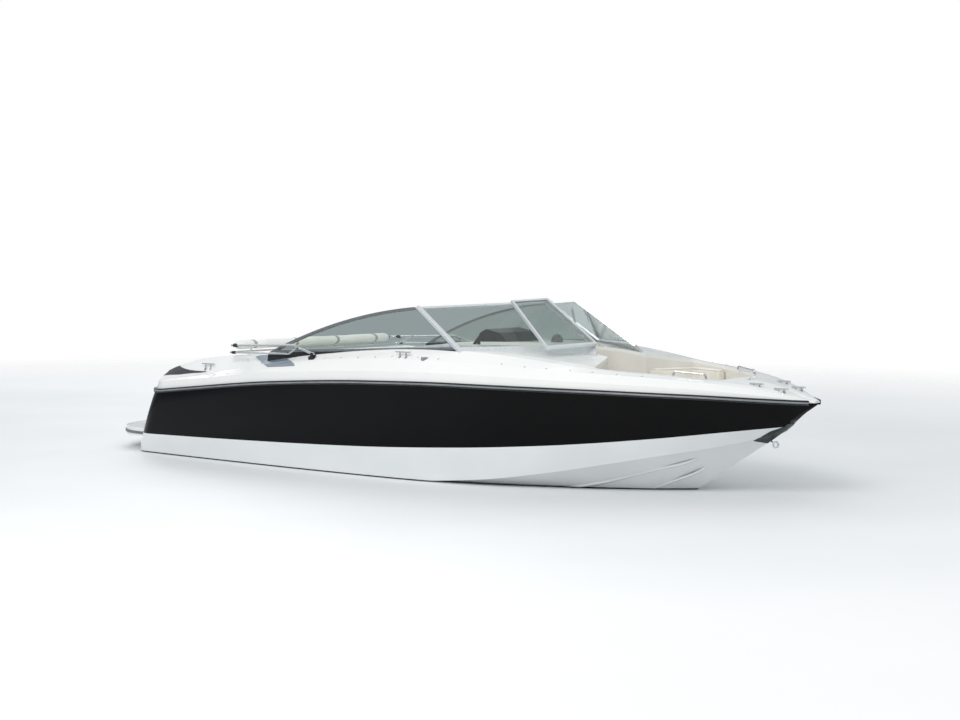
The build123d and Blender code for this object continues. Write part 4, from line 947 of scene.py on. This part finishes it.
def surface_tree(*nodes):
    """The nodes' surfaces, for rays."""
    verts, faces = [], []
    for name in nodes:
        mesh = frame["nodes"][name].data
        base = len(verts)
        verts += [v.co.copy() for v in mesh.vertices]
        faces += [tuple(base + i for i in f.vertices) for f in mesh.polygons]
    return BVHTree.FromPolygons(verts, faces)


def clung_patch(outline, tree, facing, lift):
    """A patch of an outline's shape pressed onto a surface, lifted off it a little."""
    facing = Vector(facing).normalized()
    ahead = Vector((1, 0, 0))
    up = facing.cross(ahead).normalized()
    points = [Vector(p) * MM for p in outline]
    flat = resampled([Vector((p.x, p.dot(up), 0)) for p in points + points[:1]], 0.008)[:-1]
    depth = sum((p.dot(facing) for p in points)) / len(points)
    bm = bmesh.new()
    bm.faces.new([bm.verts.new(p) for p in flat])
    low = [min(p[k] for p in flat) for k in (0, 1)]
    high = [max(p[k] for p in flat) for k in (0, 1)]
    for k in (0, 1):
        at = low[k] + PATCH_CELL
        while at < high[k]:
            place, normal = [0.0, 0.0, 0.0], [0.0, 0.0, 0.0]
            place[k], normal[k] = at, 1.0
            every = bm.verts[:] + bm.edges[:] + bm.faces[:]
            bmesh.ops.bisect_plane(bm, geom=every, plane_co=place, plane_no=normal)
            at += PATCH_CELL
    for v in bm.verts:
        start = ahead * v.co.x + up * v.co.y + facing * (depth + PATCH_REACH)
        hit, normal, _, _ = tree.ray_cast(start, -facing, PATCH_RAY)
        v.co = hit + normal * lift if hit is not None else start - facing * PATCH_REACH
    for _ in range(3):
        bmesh.ops.smooth_vert(bm, verts=[v for v in bm.verts if not v.is_boundary], factor=0.4,
                              use_axis_x=False, use_axis_y=True, use_axis_z=True)
    bm.normal_update()
    if sum(f.normal.dot(facing) for f in bm.faces) < 0:
        bmesh.ops.reverse_faces(bm, faces=bm.faces)
    bm.verts.index_update()
    out = [tuple(v.co) for v in bm.verts], [tuple(v.index for v in f.verts) for f in bm.faces]
    bm.free()
    return out


def thickened(obj, thickness):
    """A sheet given its thickness on its outer side."""
    mod = obj.modifiers.new("thickness", "SOLIDIFY")
    mod.thickness = thickness
    mod.offset = 1.0
    return sharpen(apply_all(obj), 35)


def side_panels():
    """The vents and the accent panels, laid on the deck's side."""
    tree = surface_tree("deck", "engine_hatch")
    for name, outline, slot_name, key, node in (
            ("vent_panels", VENT_OUTLINE, "black_plastic", "mesh", "engine_vents"),
            ("accent_inlays", ACCENT_OUTLINE, "gelcoat_grey_blue", "accent", "accent_panels")):
        part = both_sides(clung_patch(outline, tree, PANEL_FACING, PANEL_LIFT))
        obj = thickened(mesh_object(name, *part), PANEL_THICK)
        finish_piece(obj, "hull", slot_name, key, node)


def turned(profile, place, axis, sides=16):
    """A profile of (radius, height) turned about an axis at a place."""
    axis = Vector(axis).normalized()
    aside = axis.cross(Vector((0.31, 0.23, 0.92))).normalized()
    ahead = axis.cross(aside)
    rows = [[tuple(Vector(place) + axis * h + (aside * math.cos(a) + ahead * math.sin(a)) * r)
             for a in (2 * math.pi * k / sides for k in range(sides))] for r, h in profile]
    verts, faces = grid(rows, wrap=True)
    faces = [tuple(reversed(f)) for f in faces]
    last = len(verts) - sides
    return verts, faces + [tuple(range(sides))[::-1], tuple(range(last, last + sides))]


def snaps(radius, height):
    """Snaps for the cockpit cover, along both sides of the deck."""
    tree = surface_tree("deck", "engine_hatch", "anchor_lid")
    profile = [(radius, -0.001), (radius, height * 0.45), (radius * 0.86, height * 0.8),
               (radius * 0.5, height), (radius * 0.3, height * 0.86), (radius * 0.05, height * 0.8)]
    parts = []
    for x, y in SNAPS:
        for side in (-1, 1):
            hit, normal, _, _ = tree.ray_cast(Vector((x * MM, side * y * MM, 2.0)), Vector((0, 0, -1)), 2.0)
            if hit is not None:
                parts.append(turned(profile, hit, normal))
    obj = cleaned(mesh_object("cover_snaps", *join_grids(parts)), 0.00005)
    finish_piece(sharpen(obj, 50), "hull", "stainless", "steel")


def hull_y(x, z):
    """Half breadth of the hull at a station and height, from the section that the skins use."""
    bottom, band, top = hull_station(x)[:3]
    line = bottom + band + top
    for (y0, z0), (y1, z1) in reversed(list(zip(line, line[1:]))):
        if z0 <= z <= z1 and z1 > z0:
            return y0 + (y1 - y0) * (z - z0) / (z1 - z0)
    return 0.0


GUARD_COLUMNS = 44
GUARD_ROWS = 8
# Half breadth under which the plate closes on the stem's own line, in millimetres
GUARD_CLOSED = 12


def stem_guard(lift):
    """The leaf-shaped plate folded round the stem."""
    rows = []
    aft, fore = GUARD_EDGES[0][0], GUARD_EDGES[-1][0]
    for x in [aft + (fore - aft) * k / GUARD_COLUMNS for k in range(GUARD_COLUMNS + 1)]:
        _, low, high = faired(GUARD_EDGES, x)
        low = max(low, faired(STATIONS, x)[3] + 0.5)
        high = max(high, low + 1)
        row = []
        for k in range(GUARD_ROWS + 1):
            z = low + (high - low) * k / GUARD_ROWS
            row.append((x, hull_y(x, z), z))
        if row[0][1] < GUARD_CLOSED:
            row[0] = (x, 0.0, faired(STATIONS, x)[3])
        rows.append(row)
    obj = cleaned(mesh_object("stem_plate", *metres(both_sides(grid(rows)))))
    finish_piece(thickened(obj, lift), "hull", "stainless", "guard", "stem_guard")


# Helm gauges: place across the dash, height, dial radius, in millimetres
GAUGES = [(-62, 1168, 44), (62, 1168, 44), (-150, 1150, 27), (150, 1150, 27), (0, 1186, 20), (-112, 1196, 20),
          (112, 1196, 20)]
GAUGE_SIDES = 28
NEEDLE_LIFT = 0.0075
NEEDLE_R = 0.0011


def gauges(rim):
    """Dials with their bezels and needles, on the face of the helm dash."""
    tree = surface_tree("helm_dash")
    faces, rims = [], []
    for y, z, radius in GAUGES:
        r = radius * MM
        start = Vector((3.0, (HELM_Y + y) * MM, z * MM))
        hit, normal, _, _ = tree.ray_cast(start, Vector((1, 0, 0)), 1.0)
        if hit is None:
            continue
        lens = [(r * 0.96, 0.001), (r * 0.95, 0.004), (r * 0.5, 0.0055), (0.0008, 0.006)]
        bezel = [(r * 0.94, 0.001), (r * 1.06, 0.001), (r * 1.06, rim * 0.6), (r * 1.0, rim),
                 (r * 0.93, rim * 0.8), (r * 0.93, 0.0045)]
        faces.append(turned(lens, hit, normal, GAUGE_SIDES))
        rims.append(turned(bezel, hit, normal, GAUGE_SIDES))
        angle = y * 0.02
        needle = [hit + normal * NEEDLE_LIFT
                  + Vector((0, math.sin(angle) * r * 0.8 * t, math.cos(angle) * r * 0.8 * t))
                  for t in (-0.15, 0.4, 1.0)]
        rims.append(cord_mesh(needle, NEEDLE_R, 5))
    dials = sharpen(mesh_object("gauge_dials", *join_grids(faces)), 40)
    finish_piece(dials, "hull", "black_plastic", "dial")
    finish_piece(sharpen(mesh_object("gauge_rims", *join_grids(rims)), 40), "hull", "stainless", "steel")


# Bimini, stowed. The roll's middle line is at ROLL_X and ROLL_Z
ROLL_X = 1420.0
ROLL_Z = 1101.0
ROLL_HALF = 1046.0
ROLL_SIZE = (60.0, 42.0)
ROLL_SIDES = 48
ROLL_STEPS = 220
STRAPS = (-830.0, -280.0, 280.0, 830.0)
# A strap pinches the roll and puckers it on both sides: depths as shares of the roll, reaches in millimetres
STRAP_PINCH = 0.11
STRAP_REACH = 26
PUCKER = 0.02
PUCKER_REACH = 90
END_TAPER = 70
STRAP_LIFT = 1.2
STRAP_ROWS = 6
STRAP_THICK = 0.0022
# Nylon fittings on the bows' corners: body, x, y, z, half length, radius, and whether they lie along x
BOW_FITTINGS = [("bimini_main", 1508, 1126, 1101.6, 26, 15.5, True),
                ("bimini_second", 1512, 1152, 1037.5, 24, 13.5, True),
                ("bimini_main", 1420, 1056, 1100, 12, 16, False)]


def roll_radius(angle, s):
    """Share of the roll's size at an angle round it and a place along it: folds, straps, gathered ends."""
    # three runs of folds: their depth as a share of the roll, how many go round it, and their drift along it
    r = 1 + 0.03 * math.sin(2 * angle + s / 340) + 0.018 * math.sin(5 * angle + s / 120)
    r += 0.012 * math.sin(9 * angle - s / 60 + math.sin(s / 200))
    for strap in STRAPS:
        away = abs(s - strap)
        r -= STRAP_PINCH * math.exp(-(away / STRAP_REACH) ** 2)
        r += PUCKER * math.exp(-(away / PUCKER_REACH) ** 2) * math.sin(11 * angle + strap)
    end = max(0.0, abs(s) - (ROLL_HALF - END_TAPER)) / END_TAPER
    return r * math.sqrt(max(0.05, 1 - 0.86 * end * end)) * (1 + 0.05 * end * math.sin(13 * angle))


def canvas_roll(strap_width):
    """The furled canvas and the straps round it."""
    wide, high = ROLL_SIZE
    angles = [2 * math.pi * j / ROLL_SIDES for j in range(ROLL_SIDES)]
    rows = []
    for k in range(ROLL_STEPS + 1):
        s = -ROLL_HALF + 2 * ROLL_HALF * k / ROLL_STEPS
        sag = -2.5 * math.sin(math.pi * 3.5 * s / ROLL_HALF) ** 2
        row = []
        for a in angles:
            r = roll_radius(a, s)
            row.append((ROLL_X + wide * r * math.cos(a), s, ROLL_Z + sag + high * r * math.sin(a)))
        rows.append(row)
    verts, faces = grid(rows, wrap=True)
    faces += [tuple(range(ROLL_SIDES))[::-1], tuple(range(len(verts) - ROLL_SIDES, len(verts)))]
    roll = cleaned(mesh_object("canvas_roll", *metres((verts, faces))))
    finish_piece(roll, "bimini_main", "canvas_white", "canvas", "bimini_canvas")
    bands = []
    for strap in STRAPS:
        rows = []
        for k in range(STRAP_ROWS + 1):
            s = strap + strap_width * (k / STRAP_ROWS - 0.5)
            rows.append([(ROLL_X + (wide + STRAP_LIFT) * roll_radius(a, strap) * math.cos(a), s,
                          ROLL_Z + (high + STRAP_LIFT) * roll_radius(a, strap) * math.sin(a))
                         for a in angles])
        bands.append(grid(rows, wrap=True))
    straps = thickened(cleaned(mesh_object("roll_straps", *metres(join_grids(bands)))), STRAP_THICK)
    finish_piece(straps, "bimini_main", "trim_grey", "webbing")


def bow_fittings():
    """Nylon ends and sleeves on the tubes of the bimini."""
    for body in ("bimini_main", "bimini_second"):
        parts = []
        for owner, x, y, z, half, radius, lengthwise in BOW_FITTINGS:
            if owner != body:
                continue
            axis = Vector((1, 0, 0)) if lengthwise else Vector((0, 1, 0))
            h, r = half * MM, radius * MM
            profile = [(r * 0.72, -h), (r * 0.95, -h), (r, -h * 0.86), (r, -h * 0.3), (r * 1.08, -h * 0.25),
                       (r * 1.08, h * 0.25), (r, h * 0.3), (r, h * 0.86), (r * 0.95, h), (r * 0.72, h)]
            for side in (-1, 1):
                parts.append(turned(profile, Vector((x, side * y, z)) * MM, axis, 24))
        obj = cleaned(mesh_object(body + "_fittings", *join_grids(parts)), 0.00005)
        finish_piece(sharpen(obj, 35), body, "black_plastic", "plastic")


# Upholstery. columns: node, body, voxel, crown, how far the crown reaches in from the edge
CUSHIONS = [
    ("bow_cushions", "hull", 0.014, 0.016, 0.09), ("bow_backrests", "hull", 0.014, 0.014, 0.09),
    ("rear_cushions", "hull", 0.014, 0.016, 0.09), ("fore_pad", "hull", 0.014, 0.016, 0.09),
    ("sun_pad", "engine_hatch_lid", 0.014, 0.012, 0.09), ("helm_seat", "helm_chair", 0.012, 0.012, 0.07),
    ("passenger_seat", "passenger_chair", 0.012, 0.012, 0.07),
]


def channels(node):
    """Sewn channels of a pad: lines across its top, in metres."""
    low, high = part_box(node)
    top = high[2]
    lines = []
    if node in ("sun_pad", "fore_pad"):
        for share in (0.25, 0.5, 0.75):
            y = low[1] + (high[1] - low[1]) * share
            lines.append([Vector((low[0] + 0.03, y, top)), Vector((high[0] - 0.03, y, top))])
    if node == "rear_cushions":
        for k in range(1, 6):
            y = low[1] + (high[1] - low[1]) * k / 6
            lines.append([Vector((low[0] + 0.02, y, top)), Vector((low[0] + 0.12, y, top - 0.04)),
                          Vector((low[0] + 0.15, y, low[2] + 0.12)),
                          Vector((high[0] - 0.02, y, low[2] + 0.1))])
    if node in ("helm_seat", "passenger_seat"):
        middle = (low[1] + high[1]) / 2
        for away in (-0.12, 0.12):
            lines.append([Vector((low[0] + 0.1, middle + away, top - 0.05)),
                          Vector((low[0] + 0.14, middle + away, low[2] + 0.14)),
                          Vector((high[0] - 0.04, middle + away, low[2] + 0.13))])
    return [resampled(line, 0.02) for line in lines]


def upholster(node, body, voxel, crown, reach, groove, welt_radius):
    """A cushion's cover with its channels and welts, in the place of its CAD node."""
    parts = islands(frame["nodes"][node].data)
    seams = channels(node)
    soft = join_grids([stuffed(part, voxel, crown, reach, seams, groove) for part in parts])
    obj = mesh_object(node + "_cover", *soft)
    finish_piece(obj, body, "vinyl_cream", "cream", node)
    welts = piping(parts, soft, welt_radius)
    if welts:
        finish_piece(mesh_object(node + "_welt", *join_grids(welts)), body, "vinyl_cream", "welt")


NODE_LOOKS = {
    "topsides": ["hull_topsides"], "bottom": ["hull_bottom", "spray_strakes"],
    "deck": ["deck", "engine_hatch", "anchor_lid", "passenger_dash", "glovebox_lid", "swim_platform",
             "rear_bench"],
    "nonskid": ["cockpit_liner", "bow_liner", "ski_locker_lid"],
    "accent": ["accent_panels"],
    "cream": ["bow_cushions", "bow_backrests", "rear_cushions", "helm_seat", "passenger_seat", "sun_pad",
              "fore_pad"],
    "canvas": ["bimini_canvas"],
    "steel": ["bimini_main_bow", "bimini_second_bow", "bimini_struts", "cleats", "grab_rails", "bow_eye",
              "stem_guard", "stern_eyes", "boarding_ladder", "walkway_brace", "fuel_cap", "lid_hinges",
              "seat_pedestals", "trim_rods"],
    "prop": ["propeller"],
    "aluminium": ["windshield_frame", "windshield_door"],
    "glass": ["windshield_glass", "windshield_door_glass"],
    "rail": ["rub_rail"],
    "drive": ["outdrive", "gimbal_ring", "transom_housing", "trim_barrels"],
    "plastic": ["throttle_control", "compass", "steering_wheel", "bimini_mounts", "helm_dash"],
    "grey_plastic": ["platform_trim"],
    "engine": ["engine"],
    "mesh": ["engine_vents"],
}


def paint_nodes():
    """Gives every CAD node the material of its kind."""
    for key, names in NODE_LOOKS.items():
        for name in names:
            data = frame["nodes"][name].data
            if not data.materials:
                data.materials.append(look(key))
            for k in range(len(data.materials)):
                data.materials[k] = look(key)


# Stage

CAMERA_PLACE = (15.3098, -13.5389, 2.0931)
CAMERA_AZIMUTH = 40.8807
CAMERA_PITCH = 3.5068
FLOOR_HALF = 60.0
FLOOR_SOLID = 7.0
FLOOR_GONE = 15.0
# Both lamps look at the cockpit
LAMP_TARGET = (3.0, 0.0, 0.5)
KEY_PLACE = (8.0, -12.0, 10.0)
KEY_SIZE = 6.0
FILL_PLACE = (-8.0, 8.0, 9.0)
FILL_SIZE = 8.0


def soft_lamp(name, place, size, power):
    lamp = bpy.data.lights.new(name, "AREA")
    lamp.shape = "RECTANGLE"
    lamp.size, lamp.size_y = size, size
    lamp.energy = power
    obj = bpy.data.objects.new(name, lamp)
    bpy.context.scene.collection.objects.link(obj)
    obj.location = place
    obj.rotation_euler = (Vector(LAMP_TARGET) - Vector(place)).to_track_quat("-Z", "Y").to_euler()
    return obj


def white_world(strength):
    """White behind the object and a plain pale sky as light, told apart by the kind of ray."""
    world = bpy.data.worlds.new("studio")
    bpy.context.scene.world = world
    world.use_nodes = True
    tree = world.node_tree
    tree.nodes.clear()
    rays = add(tree, "ShaderNodeLightPath")
    mirrored = add(tree, "ShaderNodeMath", {0: 1.0, 1: rays.outputs["Is Glossy Ray"]}, operation="SUBTRACT")
    through = add(tree, "ShaderNodeMath", {0: rays.outputs["Is Transmission Ray"], 1: mirrored.outputs[0]},
                  operation="MULTIPLY")
    seen = add(tree, "ShaderNodeMath", {0: rays.outputs["Is Camera Ray"], 1: through.outputs[0]},
               operation="MAXIMUM")
    place = add(tree, "ShaderNodeTexCoord").outputs["Generated"]
    height = add(tree, "ShaderNodeSeparateXYZ", {0: place}).outputs[2]
    sky = between(tree, height, linear("#A9B0B5"), linear("#EDF1F4"), 0.0, 0.55)
    light = add(tree, "ShaderNodeBackground", {"Color": sky, "Strength": strength})
    white = add(tree, "ShaderNodeBackground", {"Color": (1.0, 1.0, 1.0, 1.0), "Strength": 1.0})
    both = add(tree, "ShaderNodeMixShader", {0: seen.outputs[0], 1: light.outputs[0], 2: white.outputs[0]})
    add(tree, "ShaderNodeOutputWorld", {"Surface": both.outputs[0]})


def water_floor(half, rings=48):
    """A plain pale disc at the waterline, fading out before the horizon."""
    angles = [2 * math.pi * k / rings for k in range(rings)]
    rim = [(half * math.cos(a), half * math.sin(a), 0.0) for a in angles]
    faces = [(0, 1 + k, 1 + (k + 1) % rings) for k in range(rings)]
    obj = mesh_object("water_level_floor", [(0.0, 0.0, 0.0)] + rim, faces, False)
    material, tree, surface, place = shader("pale_studio_floor")
    away = add(tree, "ShaderNodeVectorMath", {0: place}, operation="LENGTH").outputs[1]
    tone = between(tree, noise(tree, place, 2500), linear("#E9EBEC"), linear("#EFF0F1"))
    feed(tree, surface, Base_Color=tone, Roughness=0.55,
         Alpha=ranged(tree, away, 1.0, 0.0, FLOOR_SOLID, FLOOR_GONE))
    obj.data.materials.append(material)
    return obj


def camera(lens):
    data = bpy.data.cameras.new("camera")
    data.sensor_width = 36.0
    data.lens = lens
    data.clip_end = 400.0
    obj = bpy.data.objects.new("camera", data)
    bpy.context.scene.collection.objects.link(obj)
    obj.location = CAMERA_PLACE
    obj.rotation_euler = (math.radians(90 - CAMERA_PITCH), 0.0, math.radians(CAMERA_AZIMUTH))
    bpy.context.scene.camera = obj


# Add-on

def colour(name, text, hex_colour):
    return bpy.props.FloatVectorProperty(name=name, description=text, subtype="COLOR", size=3, min=0.0,
                                         max=1.0, default=linear(hex_colour)[:3])


def length(name, text, value):
    return bpy.props.FloatProperty(name=name, description=text, default=value, min=0.0, unit="LENGTH",
                                   subtype="DISTANCE", precision=4)


class RunaboutColours(bpy.types.PropertyGroup):
    topsides: colour("Topsides", "Gelcoat of the hull sides", "#050506")
    bottom: colour("Bottom", "Gelcoat of the bottom and its band above the water", "#E6E8E8")
    deck: colour("Deck", "Gelcoat of the deck, lids and platform", "#F2F2EF")
    nonskid: colour("Non-skid", "Pebbled gelcoat of the floors and liners", "#E6E3DB")
    accent: colour("Accent", "Metal-flake panel on each side deck", "#7A8795")
    vinyl: colour("Upholstery", "Vinyl of the seats, pads and cushions", "#EAE5DA")
    canvas: colour("Canvas", "Acrylic cloth of the stowed bimini", "#F6F5F1")
    steel: colour("Stainless steel", "Rails, cleats, hinges and propeller", "#CDD0D3")
    # dark green-grey of the stem guard: a painted reflection of the water in polished steel
    guard: colour("Stem guard", "Dulled dark steel plate on the stem", "#434B48")
    frame: colour("Windshield frame", "Anodised posts and front rails", "#E4E6E8")
    # darker grey for the side rails aft of the corner post
    frame_wing: colour("Wing rails", "Weathered side rails of the windshield", "#85898D")
    glass: colour("Glass", "Tint of the windshield", "#E3EBE7")
    rail: colour("Rub rail", "Vinyl base of the rub rail", "#161719")
    insert: colour("Rail insert", "Soft insert in the rub rail", "#84888B")
    drive: colour("Drive", "Enamel of the stern drive", "#131416")
    plastic: colour("Black plastic", "Grained plastic of the helm and fittings", "#18191B")
    trim: colour("Platform trim", "Bumper round the swim platform", "#6E7174")
    engine: colour("Engine", "Enamel of the engine block", "#303335")
    vent: colour("Vents", "Punched sheet of the engine vents", "#34363A")


class RunaboutSizes(bpy.types.PropertyGroup):
    laminate: length("Laminate", "Thickness of the hull skins", 0.008)
    guard: length("Stem guard", "Thickness of the plate on the stem", 0.0035)
    snap_radius: length("Snap radius", "Radius of the cover snaps", 0.0085)
    snap_height: length("Snap height", "Height of the cover snaps", 0.0045)
    gauge_rim: length("Gauge rim", "Height of the gauge bezels", 0.007)
    groove: length("Channel depth", "Depth of the sewn channels in the upholstery", 0.007)
    welt: length("Welt radius", "Radius of the welt cords", 0.0042)
    strap: length("Strap width", "Width of the straps round the canvas roll", 0.038)
    lens: bpy.props.FloatProperty(name="Lens", description="Focal length of the camera in millimetres",
                                  default=73.125, min=1.0)
    sky: bpy.props.FloatProperty(name="Sky light", description="Strength of the plain sky", default=0.86,
                                 min=0.0)
    key: bpy.props.FloatProperty(name="Key light", description="Power of the key lamp", default=1000.0,
                                 min=0.0, subtype="POWER")
    fill: bpy.props.FloatProperty(name="Fill light", description="Power of the fill lamp", default=450.0,
                                  min=0.0, subtype="POWER")


class RUNABOUT_OT_finishes(bpy.types.Operator):
    """Gives every CAD node its material"""
    bl_idname = "runabout.finishes"
    bl_label = "Finishes"

    def execute(self, context):
        paint_nodes()
        return {"FINISHED"}


class RUNABOUT_OT_hull(bpy.types.Operator):
    """Builds the smooth skins of the topsides and the bottom"""
    bl_idname = "runabout.hull"
    bl_label = "Hull skins"

    def execute(self, context):
        hull_skins(context.scene.runabout_sizes.laminate)
        return {"FINISHED"}


class RUNABOUT_OT_rail(bpy.types.Operator):
    """Builds the rub rail with its grey insert"""
    bl_idname = "runabout.rail"
    bl_label = "Rub rail"

    def execute(self, context):
        rub_rail()
        return {"FINISHED"}


class RUNABOUT_OT_trim(bpy.types.Operator):
    """Builds the side panels, the stem guard and the cover snaps"""
    bl_idname = "runabout.trim"
    bl_label = "Deck trim"

    def execute(self, context):
        sizes = context.scene.runabout_sizes
        side_panels()
        stem_guard(sizes.guard)
        snaps(sizes.snap_radius, sizes.snap_height)
        return {"FINISHED"}


class RUNABOUT_OT_gauges(bpy.types.Operator):
    """Builds the gauges on the helm dash"""
    bl_idname = "runabout.gauges"
    bl_label = "Gauges"

    def execute(self, context):
        gauges(context.scene.runabout_sizes.gauge_rim)
        return {"FINISHED"}


class RUNABOUT_OT_bimini(bpy.types.Operator):
    """Builds the rolled canvas, its straps and the fittings on the bows"""
    bl_idname = "runabout.bimini"
    bl_label = "Bimini"

    def execute(self, context):
        canvas_roll(context.scene.runabout_sizes.strap / MM)
        bow_fittings()
        return {"FINISHED"}


class RUNABOUT_OT_upholstery(bpy.types.Operator):
    """Builds the seats, pads and cushions with their welts"""
    bl_idname = "runabout.upholstery"
    bl_label = "Upholstery"

    def execute(self, context):
        sizes = context.scene.runabout_sizes
        for node, body, voxel, crown, reach in CUSHIONS:
            upholster(node, body, voxel, crown, reach, sizes.groove, sizes.welt)
        return {"FINISHED"}


class RUNABOUT_OT_stage(bpy.types.Operator):
    """Sets the camera, the floor at the waterline and the light"""
    bl_idname = "runabout.stage"
    bl_label = "Stage"

    def execute(self, context):
        sizes = context.scene.runabout_sizes
        context.scene.view_settings.view_transform = "Standard"
        camera(sizes.lens)
        water_floor(FLOOR_HALF)
        white_world(sizes.sky)
        soft_lamp("key_lamp", KEY_PLACE, KEY_SIZE, sizes.key)
        soft_lamp("fill_lamp", FILL_PLACE, FILL_SIZE, sizes.fill)
        return {"FINISHED"}


OPERATORS = (RUNABOUT_OT_finishes, RUNABOUT_OT_hull, RUNABOUT_OT_rail, RUNABOUT_OT_trim, RUNABOUT_OT_gauges,
             RUNABOUT_OT_bimini, RUNABOUT_OT_upholstery, RUNABOUT_OT_stage)


class RUNABOUT_PT_panel(bpy.types.Panel):
    """Sidebar panel with the settings and the building steps"""
    bl_label = "Runabout"
    bl_idname = "RUNABOUT_PT_panel"
    bl_space_type = "VIEW_3D"
    bl_region_type = "UI"
    bl_category = "Runabout"

    def draw(self, context):
        for settings in (context.scene.runabout_sizes, context.scene.runabout_colours):
            box = self.layout.box()
            for name in type(settings).__annotations__:
                box.prop(settings, name)
        for operator in OPERATORS:
            self.layout.operator(operator.bl_idname)


CLASSES = (RunaboutColours, RunaboutSizes) + OPERATORS + (RUNABOUT_PT_panel,)


def register():
    for cls in CLASSES:
        bpy.utils.register_class(cls)
    bpy.types.Scene.runabout_colours = bpy.props.PointerProperty(type=RunaboutColours)
    bpy.types.Scene.runabout_sizes = bpy.props.PointerProperty(type=RunaboutSizes)


def unregister():
    del bpy.types.Scene.runabout_sizes
    del bpy.types.Scene.runabout_colours
    for cls in reversed(CLASSES):
        bpy.utils.unregister_class(cls)


def main():
    register()
    for operator in OPERATORS:
        group, name = operator.bl_idname.split(".")
        if getattr(getattr(bpy.ops, group), name)() != {"FINISHED"}:
            raise RuntimeError(operator.bl_label + " was not built")


if __name__ == "__main__":
    main()
